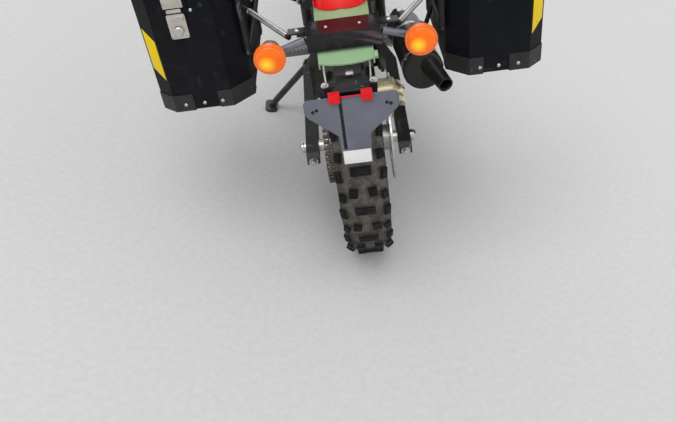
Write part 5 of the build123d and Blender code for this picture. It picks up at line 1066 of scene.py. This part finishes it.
class MOTORCYCLE_OT_front(bpy.types.Operator):
    """Fit the lamp, dials, mirrors, grips and fork fittings"""
    bl_idname = "motorcycle.front"
    bl_label = "Front fittings"

    def execute(self, context):
        lamp = Vector((0, LAMP_BACK_Y + 78, LAMP_Z))
        bm = bmesh.new()
        bowl = [(0, -77), (61, -77), (62, -70), (62, 3), (58, 3), (57, -4), (50, -20), (39, -35), (25, -45),
                (12, -50), (0, -51)]
        lathe(bm, bowl, lamp, FORWARD, 56)
        make_piece("headlamp_bowl", bm, "fork", "lamp bowl", replaces=("headlight",))
        bm = bmesh.new()
        lathe(bm, [(0, -18), (5, -20), (7.5, -26), (7.5, -48), (0, -48)], lamp, FORWARD, 20)
        lathe(bm, [(0, -12), (11, -13), (12, -16), (0, -16.5)], lamp, FORWARD, 24)
        make_piece("headlamp_bulb", bm, "fork", "dial mark")
        bm = bmesh.new()
        glass = [(0, 13), (22, 12), (40, 9), (52, 5), (57.5, 1.5), (57.5, -2), (52, 1.5), (40, 5.5),
                 (22, 8.5), (0, 9.5)]
        lathe(bm, glass, lamp, FORWARD, 56)
        make_piece("headlamp_glass", bm, "fork", "lamp glass")
        bm = bmesh.new()
        lathe(bm, [(57.6, 7.2), (57.6, 2), (61.8, 2), (66, 5.4), (66.5, 8), (63, 10), (59, 9.6), (57.6, 7.2)],
              lamp, FORWARD, 56)
        for side in BOTH:
            for high in (-88, 78):
                button_head(bm, (side * 68, LAMP_BACK_Y + 83.6, LAMP_Z + high), FORWARD, 4.5, 2.4)
        make_piece("headlamp_bezel", bm, "fork", "black plastic")

        dash = Matrix.Translation((0, LAMP_BACK_Y - 36.3, 1055.8)) @ tilted(30)
        faces, marks, needles, rims = bmesh.new(), bmesh.new(), bmesh.new(), bmesh.new()
        for side in BOTH:
            centre = dash @ Vector((side * DIAL_X, 0, 30))
            up = dash.to_3x3() @ Vector(UPWARD)
            lathe(faces, [(0, 0.8), (29, 0.8), (29, -0.5), (0, -0.5)], centre, up, 40)
            rim = [(28.6, 0), (28.6, 2.6), (30, 3.6), (32.2, 2.8), (32.8, 0), (28.6, 0)]
            lathe(rims, rim, centre, up, 40)
            for k in range(DIAL_TICKS):
                long, wide = (3.0, 0.6) if k % 4 else (5.5, 1.0)
                tick = block(marks, (25.5 - long / 2, 0, 0), (long, wide, 0.3))
                turn = Matrix.Rotation(radians(210 - k * TICK_STEP), 4, "Z")
                place = dash @ Matrix.Translation((side * DIAL_X, 0, 30.9)) @ turn
                bmesh.ops.transform(marks, matrix=place, verts=tick)
            pointer = block(needles, (9, 0, 0), (26, 1.3, 0.5))
            turn = Matrix.Rotation(radians(205), 4, "Z")
            place = dash @ Matrix.Translation((side * DIAL_X, 0, 31.8)) @ turn
            bmesh.ops.transform(needles, matrix=place, verts=pointer)
            cap = [(0, 1.6), (3.2, 1.4), (3.6, 0), (0, 0)]
            lathe(needles, cap, dash @ Vector((side * DIAL_X, 0, 31)), up, 16)
        make_piece("dial_faces", faces, "fork", "dial face")
        make_piece("dial_marks", marks, "fork", "dial mark")
        make_piece("dial_needles", needles, "fork", "needle")
        make_piece("dial_rims", rims, "fork", "bright steel")

        bm = bmesh.new()
        outline = []
        for step in range(MIRROR_STEPS):
            turn = 2 * pi * (step + 0.5) / MIRROR_STEPS
            shift = MIRROR_HALF_FLAT if cos(turn) > 0 else -MIRROR_HALF_FLAT
            outline.append((MIRROR_R * cos(turn) + shift, MIRROR_R * sin(turn)))
        for side in BOTH:
            plate(bm, outline, by_bar(side, 86, 30, 158), RIGHTWARD, UPWARD, 0.8, 0.2)
        make_piece("mirror_glasses", bm, "fork", "mirror glass")

        bm = bmesh.new()
        for side in BOTH:
            inward = (by_bar(side, 100, 0, 0) - by_bar(side, 0, 0, 0)).normalized()
            rows = [(0, -9), (13, -9), (17.5, -7), (19.5, -4), (19.5, -1)]
            for k in range(GRIP_RIBS):
                at = 2 + k * RIB_PITCH
                rows += [(17.4, at), (18.6, at + 1.2), (18.6, at + 3.6), (17.4, at + 4.8)]
            rows += [(22, 119), (24, 121), (24, 123.5), (22, 124.5), (17.2, 124.5), (17.2, 10), (0, 10)]
            lathe(bm, rows, by_bar(side, 0, 0, 0), inward, 28)
        make_piece("grips", bm, "fork", "grip rubber")
        bm = bmesh.new()
        for side in BOTH:
            end = by_bar(side, 0, 0, 0)
            outward = (end - by_bar(side, 100, 0, 0)).normalized()
            lathe(bm, [(0, 24), (11, 24), (14, 21), (15.5, 10), (15.5, 8), (0, 8)], end, outward, 24)
            hex_head(bm, by_bar(side, 147, 34, 12), UP_FORK, 6.5, 4)
            bolts(bm, [by_bar(side, inward, -20, 0) for inward in (133, 160)], -AHEAD_FORK, 3.4, 2.2)
        bolts(bm, [by_bar(RIGHT, inward, lead, 32) for lead in (18, 34) for inward in (146, 176)], UP_FORK,
              3.0, 1.8)
        bolts(bm, [forked(x, FORK_LEAD + lead, BAR_HIGH + 14) for x in (-38, 38) for lead in (-10, 10)],
              UP_FORK, 4.6, 4.5)
        hex_head(bm, forked(0, 0, 756.8), UP_FORK, 17, 11)
        bolts(bm, [forked(side * FORK_X, 74, rise) for side in BOTH for rise in (556, 570, 743)], AHEAD_FORK,
              5.0, 4.5)
        bolts(bm, [forked(side * x, 64, -25) for side in BOTH for x in (90, 110)], -UP_FORK, 5.0, 4.5,
              hex_head)
        bolts(bm, [forked(-86, lead, rise) for lead, rise in ((-24, 104), (-30, 136), (2, 88))], LEFTWARD,
              5.5, 4.0)
        make_piece("front_screws", bm, "fork", "bright steel")
        bm = bmesh.new()
        for side in BOTH:
            lathe(bm, [(0, 8), (13, 8), (16, 6), (22, 5), (25, 2), (25.5, 0), (0, 0)],
                  forked(side * FORK_X, FORK_LEAD, 766.8), UP_FORK, 32)
            hex_head(bm, forked(side * FORK_X, FORK_LEAD, 774), UP_FORK, 11, 5)
            seal = [(21.8, 300), (28, 300), (30, 297), (30, 290), (27, 286), (23.5, 282), (21.8, 282)]
            lathe(bm, seal + seal[:1], forked(side * FORK_X, FORK_LEAD, 0), UP_FORK, 32)
        make_piece("fork_caps_and_seals", bm, "fork", "black plastic")
        bm = bmesh.new()
        for side, high in ((LEFT, 6), (LEFT, -7), (RIGHT, 4)):
            block(bm, by_bar(side, 150, -21, high), (16, 6, 8), bevel=1.6)
        make_piece("switch_buttons", bm, "fork", "needle")
        bm = bmesh.new()
        rows = [(0, 9), (10, 8.6), (19, 7.2), (25, 4.8), (27.6, 1.8), (28, -0.5), (0, -0.5)]
        for side in BOTH:
            lathe(bm, rows, (side * FRONT_SIGNAL_X, LAMP_BACK_Y + 62, LAMP_Z - 30), FORWARD, 40)
        make_piece("front_signal_lenses", bm, "fork", "signal lens")
        return {"FINISHED"}


BORE_LEAN = radians(14)
UP_BORE = Vector((0, sin(BORE_LEAN), cos(BORE_LEAN)))
BEHIND_BORE = Vector((0, -cos(BORE_LEAN), sin(BORE_LEAN)))
BORE_FOOT_Y, BORE_FOOT_Z = 765, 548.3
CLUTCH_COVER, PUMP_COVER, ALTERNATOR_COVER = (124, 735, 410), (124, 650, 345), (-118, 790, 405)
MUFFLER_BACK, MUFFLER_FRONT = Vector((180, -140, 600)), Vector((168, 290, 528))
CALIPER_BOLTS = ((32, 452), (74, 435))


def by_bore(x, ahead, rise):
    """A point beside the cylinder's axis."""
    return Vector((x, BORE_FOOT_Y, BORE_FOOT_Z)) - BEHIND_BORE * ahead + UP_BORE * rise


class MOTORCYCLE_OT_engine(bpy.types.Operator):
    """Fit the engine's covers and screws, the exhaust's clamps and the foot pegs' teeth"""
    bl_idname = "motorcycle.engine"
    bl_label = "Engine and exhaust fittings"

    def execute(self, context):
        bm = bmesh.new()
        lathe(bm, [(0, 3), (34, 3), (37, 6), (52, 6), (56, 3.5), (57, -1), (0, -1)], CLUTCH_COVER,
              RIGHTWARD, 56)
        lathe(bm, [(0, 5), (20, 5), (24, 3), (25, -1), (0, -1)], PUMP_COVER, RIGHTWARD, 40)
        lathe(bm, [(0, 6), (38, 6), (44, 3.5), (46, -1), (0, -1)], ALTERNATOR_COVER, LEFTWARD, 48)
        lathe(bm, [(0, 9), (13, 9), (15, 7), (15, 4), (0, 4)], ALTERNATOR_COVER, LEFTWARD, 32)
        for k in range(9):
            rib = [vert for vert in block(bm, (0, 0, 46), (3.0, 4.0, 8.0), bevel=0.8) if vert.is_valid]
            bmesh.ops.transform(bm, matrix=Matrix.Translation((130, 735, 410)) @ tilted(40 * k), verts=rib)
        make_piece("engine_caps", bm, "chassis", "cast alloy")
        bm = bmesh.new()
        bolts(bm, beside(CLUTCH_COVER, 73, (-68, -28, 12, 52, 92, 132)), RIGHTWARD, 5.0, 4.5, hex_head)
        bolts(bm, beside(PUMP_COVER, 31, (160, 218, 274)), RIGHTWARD, 5.0, 4.5, hex_head)
        bolts(bm, beside(ALTERNATOR_COVER, 60, (20, 80, 140, 200, 260, 320)), LEFTWARD, 5.0, 4.5, hex_head)
        bolts(bm, [by_bore(side * 52, ahead, 221) for side in BOTH for ahead in (-47, 47)], UP_BORE, 6.0,
              5.0, hex_head)
        bolts(bm, [by_bore(side * 54, ahead, 197) for side in BOTH for ahead in (-68, 68)], UP_BORE, 5.0,
              4.5, hex_head)
        bolts(bm, [by_bore(20 + dx, 77, 165) for dx in (-31, 31)], -BEHIND_BORE, 6.5, 7, hex_head)
        bolts(bm, [(side * 70, 973.4, 307.9) for side in BOTH], (0, 0.965, -0.261), 6.0, 3.5)
        bolts(bm, [(side * 78, y, 241.7) for side in BOTH for y in (600, 760, 910)], DOWNWARD, 6.0, 3.5)
        for side in BOTH:
            outward = (side, 0, 0)
            hex_head(bm, (side * 116, 560, 405), outward, 12.0, 7.0)
            bolts(bm, [(side * 116, y, z) for y, z in ((545, 290), (575, 445))], outward, 6.5, 5.0, hex_head)
            bolts(bm, [(side * 104, y, z) for y, z in ((10, 772), (300, 716), (430, 760))], outward, 5.0, 2.6)
        make_piece("engine_screws", bm, "chassis", "bright steel")

        along = (MUFFLER_BACK - MUFFLER_FRONT).normalized()
        bm = bmesh.new()
        joint = MUFFLER_FRONT - along * 13
        lathe(bm, [(21.9, -9), (25, -9), (25.6, -7), (25.6, 7), (25, 9), (21.9, 9), (21.9, -9)], joint,
              along, 32)
        block(bm, joint + Vector((0, 0, -29)), (12, 16, 9), bevel=1.5)
        lathe(bm, [(21, 0), (33, 0), (34, 1.5), (34, 6), (33, 7), (21, 7), (21, 0)], by_bore(20, 76.5, 165),
              -BEHIND_BORE, 32)
        for reach in (28, 250):
            lathe(bm, [(48.1, -9), (49.6, -8.4), (49.6, 8.4), (48.1, 9), (48.1, -9)],
                  MUFFLER_BACK - along * reach, along, 48)
        make_piece("exhaust_clamps", bm, "chassis", "bright steel")
        bm = bmesh.new()
        lathe(bm, [(0, 3), (40, 3), (46, 1.5), (49.2, -2), (49.8, -5), (49.8, -16), (48, -17), (0, -17)],
              MUFFLER_BACK, along, 48)
        make_piece("muffler_end_cap", bm, "chassis", "muffler black")
        bm = bmesh.new()
        for place in ring_places((0, 0, 0), along, 1.0, range(0, 360, 36)):
            button_head(bm, MUFFLER_BACK - along * 10 + place * 49.6, place, 3.2, 1.8, 10)
        make_piece("muffler_rivets", bm, "chassis", "bright steel")

        bm = bmesh.new()
        for side in BOTH:
            for k in range(8):
                for y in (521, 559):
                    block(bm, (side * (128 + 13.5 * k), y, 362), (5.5, 5, 5), bevel=0.7, top=0.5)
            block(bm, (side * 223, 540, 352), (8, 50, 22), bevel=2.0)
        lathe(bm, [(6.8, -4), (9.2, -3), (9.2, 34), (7, 36), (0, 36), (0, 30), (6.8, 30), (6.8, -4)],
              (-143, 685, 338), LEFTWARD, 20)
        for k in range(6):
            block(bm, (186 + 5.2 * k, 704, 311.5), (2.6, 15, 3.5), bevel=0.5)
        make_piece("peg_teeth", bm, "chassis", "black steel")

        bm = bmesh.new()
        for y, z in CALIPER_BOLTS:
            lathe(bm, [(0, 22), (10, 22), (11, 19.5), (16, 19.5), (19.5, 16), (21.5, 8), (22, -1), (0, -1)],
                  (117.8, y, z), RIGHTWARD, 32)
        block(bm, (129, 4, 438), (22, 26, 26), turn=tilted(-24), bevel=5.0)
        block(bm, (126, 54, 446), (16, 34, 20), turn=tilted(-22), bevel=4.0)
        make_piece("caliper_housings", bm, "chassis", "gold")
        bm = bmesh.new()
        bolts(bm, [(139.6, y, z) for y, z in CALIPER_BOLTS], RIGHTWARD, 6.0, 4.0, hex_head)
        hex_head(bm, (131, -9, 433), (0, -0.92, -0.39), 7.0, 5.0)
        button_head(bm, (118, 92, 414), RIGHTWARD, 4.5, 3.0)
        lathe(bm, [(0, 16), (2.4, 16), (3.4, 12), (3.4, 5), (5.5, 5), (5.5, -1), (0, -1)], (104, 62, 475),
              UPWARD, 16)
        make_piece("caliper_screws", bm, "chassis", "bright steel")

        bm = bmesh.new()
        cap = Vector((0, 880, 1028))
        lathe(bm, [(0, 4), (22, 4), (24, 6.5), (33, 6.5), (37.5, 3), (38.5, -2), (0, -2)], cap, UPWARD, 48)
        lathe(bm, [(0, 6), (9, 6), (10, 4), (0, 4)], cap, UPWARD, 24)
        bolts(bm, ring_places(cap + Vector((0, 0, 6.2)), UPWARD, 29, range(0, 360, 60)), UPWARD, 2.6, 1.4)
        make_piece("fuel_cap", bm, "chassis", "rim alloy")
        return {"FINISHED"}


HUB_BORE = 10.8
REAR_HUB_ROWS = (
    (-74, 44), (-62, 44), (-58, 34), (-46, 34), (-44, 52), (-38, 52), (-36, 33), (38, 33), (40, 48), (46, 48),
    (48, 36), (89.5, 36),
)
FRONT_HUB_ROWS = (
    (-61.5, 34), (-44, 34), (-42, 40), (-37, 40), (-35, 24), (30, 24), (32, 40), (37, 40), (39, 24), (58, 24),
)
REAR_FLANGES = {LEFT: (-41, 47), RIGHT: (43, 43)}
FRONT_FLANGES = {LEFT: (-39.5, 35.5), RIGHT: (34.5, 35.5)}
# Name, place, radius of the bead seat, half width, hub's rows, flanges' place and radius, disc's place,
# radius and side
WHEELS = (
    ("rear", REAR_WHEEL, 215.7, 46, REAR_HUB_ROWS, REAR_FLANGES, 92.0, 120.0, RIGHT),
    ("front", FRONT_WHEEL, 266.7, 31, FRONT_HUB_ROWS, FRONT_FLANGES, -64.0, 145.0, LEFT),
)
PAIRS_A_SIDE, CROSS = 8, radians(48)       # pairs of spokes, and how far each spoke runs round
DISC_HOLES = 36


class MOTORCYCLE_OT_wheels(bpy.types.Operator):
    """Lace the wheels and fit the discs' screws, and dark plugs of painted shade in the discs' holes"""
    bl_idname = "motorcycle.wheels"
    bl_label = "Wheel fittings"

    def execute(self, context):
        for name, stand, seat, half, hub, flanges, disc_x, disc_r, face in WHEELS:
            body = f"{name}_wheel"
            bm = bmesh.new()
            bed = [(seat + 9, half), (seat + 9, half - 4), (seat + 1.6, half - 4.6), (seat, half - 7),
                   (seat - 3, half - 16), (seat - 17, 12)]
            under = [(seat - 4, half), (seat - 7, half - 13), (seat - 21, 14)]
            section = bed + [(r, -x) for r, x in reversed(bed)] + [(r, -x) for r, x in under]
            lathe(bm, section + under[::-1] + bed[:1], (0, 0, 0), RIGHTWARD, 120)
            bore = [(HUB_BORE, hub[0][0])] + [(r, x) for x, r in hub] + [(HUB_BORE, hub[-1][0])]
            lathe(bm, bore + bore[:1], (0, 0, 0), RIGHTWARD, 64)
            make_piece(f"{name}_rim_and_hub", bm, body, "rim alloy", stand,
                       replaces=(f"{name}_rim",))
            bm, spokes = bmesh.new(), bmesh.new()
            elbow = [(0, -9.6), (3.4, -9.2), (3.4, -8), (1.9, -7.6), (1.9, 1.4), (0, 1.4)]
            nipple = [(0, -19), (3.2, -19), (3.9, -16), (3.9, -3), (5.2, -1), (5.2, 3), (0, 3)]
            rim_r = seat - 19
            for side in BOTH:
                flange_x, hook_r = flanges[side]
                for k in range(PAIRS_A_SIDE):
                    for lay in BOTH:
                        turn = radians(360.0 / PAIRS_A_SIDE * (k + 0.25 * side + 0.125 * lay))
                        foot = turn + lay * CROSS
                        hook = Vector((flange_x + lay * 4.4, hook_r * cos(turn), hook_r * sin(turn)))
                        end = Vector((side * 7, rim_r * cos(foot), rim_r * sin(foot)))
                        long, along = (end - hook).length, (end - hook).normalized()
                        lathe(spokes, [(0, 0), (1.9, 0), (1.9, long), (0, long)], hook, along, 10)
                        lathe(spokes, elbow, hook, (lay, 0, 0), 10)
                        lathe(bm, nipple, end, along, 8)
            make_piece(f"{name}_spokes", spokes, body, "bright steel", stand)
            make_piece(f"{name}_spoke_nipples", bm, body, "bright steel", stand)
            bm = bmesh.new()
            # Dark plugs of painted shade stand for the disc's drilled holes.
            hole = [(0, 2.58), (3.1, 2.58), (3.3, 2.3), (3.3, -2.3), (3.1, -2.58), (0, -2.58)]
            for k in range(DISC_HOLES):
                reach = disc_r - (8, 17, 26)[k % 3]
                turn = radians(360 // DISC_HOLES * k + (0, 3, 0)[k % 3])
                lathe(bm, hole, (disc_x, reach * cos(turn), reach * sin(turn)), RIGHTWARD, 12)
            make_piece(f"{name}_disc_holes", bm, body, "bore", stand)
            bm = bmesh.new()
            spots = ring_places((disc_x + face * 2.5, 0, 0), (face, 0, 0), 33, range(0, 360, 60))
            bolts(bm, spots, (face, 0, 0), 4.6, 3.6)
            if name == "rear":
                spots = ring_places((-87, 0, 0), LEFTWARD, 46, range(30, 390, 60))
                bolts(bm, spots, LEFTWARD, 5.6, 4.0, hex_head)
            valve = [(0, -42), (2.6, -42), (2.6, -34), (4.4, -33), (4.4, -14), (6.5, -13), (6.5, -3), (0, -3)]
            lathe(bm, valve, (0, 0, seat - 18), UPWARD, 16)
            make_piece(f"{name}_wheel_screws", bm, body, "bright steel", stand)
        return {"FINISHED"}


FLOOR_GAP = 0.0005
SKY_LIGHT, SKY_SEEN = 0.42, 0.80        # the world's strength as light, and as the camera and metal see it
FOCAL_PIXELS, PHOTO_WIDE, SENSOR_WIDE = 699.7, 676.0, 36.0
CAMERA_YAW, CAMERA_PITCH, CAMERA_ROLL = radians(3.6), radians(39.91), radians(9.06)
CAMERA_PLACE = (16, -1652, 1455)


class MOTORCYCLE_OT_stage(bpy.types.Operator):
    """Set the floor, the lamps and the camera"""
    bl_idname = "motorcycle.stage"
    bl_label = "Stage"

    def execute(self, context):
        scene = context.scene
        bm = bmesh.new()
        bmesh.ops.create_grid(bm, x_segments=1, y_segments=1, size=30)
        mesh = bpy.data.meshes.new("floor")
        bm.to_mesh(mesh)
        bm.free()
        floor = bpy.data.objects.new("floor", mesh)
        scene.collection.objects.link(floor)
        floor.location.z = -FLOOR_GAP
        pale = bpy.data.materials.new("Pale floor")
        pale.use_nodes = True
        w = Wiring(pale.node_tree)
        shader = pale.node_tree.nodes["Principled BSDF"]
        vector = w.node("ShaderNodeTexCoord").outputs["Object"]
        speckle = w.ramp(w.noise(vector, 60.0, 4.0), 0.3, 0.7)
        w.tree.links.new(w.mix(speckle, (0.70, 0.70, 0.69), (0.76, 0.76, 0.75)), shader.inputs["Base Color"])
        shader.inputs["Roughness"].default_value = 0.85
        mesh.materials.append(pale)

        world = bpy.data.worlds.new("Studio")
        scene.world = world
        world.use_nodes = True
        sky = Wiring(world.node_tree)
        ground = world.node_tree.nodes["Background"]
        paths = sky.node("ShaderNodeLightPath")
        mirrored = sky.math("MAXIMUM", paths.outputs["Is Glossy Ray"], paths.outputs["Is Transmission Ray"])
        seen = sky.math("MAXIMUM", paths.outputs["Is Camera Ray"], mirrored)
        sky.tree.links.new(sky.ramp(seen, 0.0, 1.0, SKY_LIGHT, SKY_SEEN), ground.inputs["Strength"])
        ground.inputs["Color"].default_value = (0.97, 0.98, 1.0, 1)
        lamps = (
            ("key", (-0.9, -1.3, 2.6), look().lamp_strength, 50.0),
            ("fill", (2.4, -1.2, 1.4), look().lamp_strength * 0.28, 70.0),
            ("front", (-0.8, 2.6, 1.3), look().lamp_strength * 0.30, 70.0),
        )
        for name, towards, strength, spread in lamps:
            lamp = bpy.data.lights.new(name, "SUN")
            lamp.energy = strength
            lamp.angle = radians(spread)
            light = bpy.data.objects.new(name, lamp)
            light.rotation_mode = "QUATERNION"
            light.rotation_quaternion = (-Vector(towards)).to_track_quat("-Z", "Y")
            scene.collection.objects.link(light)
        scene.view_settings.view_transform = "Standard"

        lens = bpy.data.cameras.new("photo_camera")
        lens.sensor_width = SENSOR_WIDE
        lens.lens = SENSOR_WIDE * FOCAL_PIXELS / PHOTO_WIDE
        lens.clip_start, lens.clip_end = 0.05, 100.0
        camera = bpy.data.objects.new("photo_camera", lens)
        yaw, pitch, roll = CAMERA_YAW, CAMERA_PITCH, CAMERA_ROLL
        ahead = Vector((-sin(yaw) * cos(pitch), cos(yaw) * cos(pitch), -sin(pitch)))
        right = Vector((cos(yaw), sin(yaw), 0))
        down = ahead.cross(right)
        image_right = right * cos(roll) + down * sin(roll)
        image_down = down * cos(roll) - right * sin(roll)
        turn = Matrix((image_right, -image_down, -ahead)).transposed().to_4x4()
        place = UPRIGHT @ Vector(CAMERA_PLACE)
        camera.matrix_world = Matrix.Translation(place) @ Matrix.Rotation(-LEAN, 4, "Y") @ turn
        scene.collection.objects.link(camera)
        scene.camera = camera
        return {"FINISHED"}


OPERATORS = (
    MOTORCYCLE_OT_bodywork, MOTORCYCLE_OT_tyres, MOTORCYCLE_OT_chain, MOTORCYCLE_OT_boxes, MOTORCYCLE_OT_tail,
    MOTORCYCLE_OT_seat, MOTORCYCLE_OT_front, MOTORCYCLE_OT_engine, MOTORCYCLE_OT_wheels, MOTORCYCLE_OT_stage,
)


class MOTORCYCLE_PT_panel(bpy.types.Panel):
    """Buttons for each group of pieces"""
    bl_idname = "MOTORCYCLE_PT_panel"
    bl_label = "Motorcycle"
    bl_space_type = "VIEW_3D"
    bl_region_type = "UI"
    bl_category = "Motorcycle"

    def draw(self, context):
        layout = self.layout
        for name in MotorcycleLook.__annotations__:
            layout.prop(context.scene.motorcycle_look, name)
        for operator in OPERATORS:
            layout.operator(operator.bl_idname)


CLASSES = (MotorcycleLook, *OPERATORS, MOTORCYCLE_PT_panel)


def register():
    for cls in CLASSES:
        bpy.utils.register_class(cls)
    bpy.types.Scene.motorcycle_look = bpy.props.PointerProperty(type=MotorcycleLook)


def unregister():
    del bpy.types.Scene.motorcycle_look
    for cls in reversed(CLASSES):
        bpy.utils.unregister_class(cls)


def main():
    register()
    for operator in OPERATORS:
        group, name = operator.bl_idname.split(".")
        getattr(getattr(bpy.ops, group), name)()


if __name__ == "__main__":
    main()
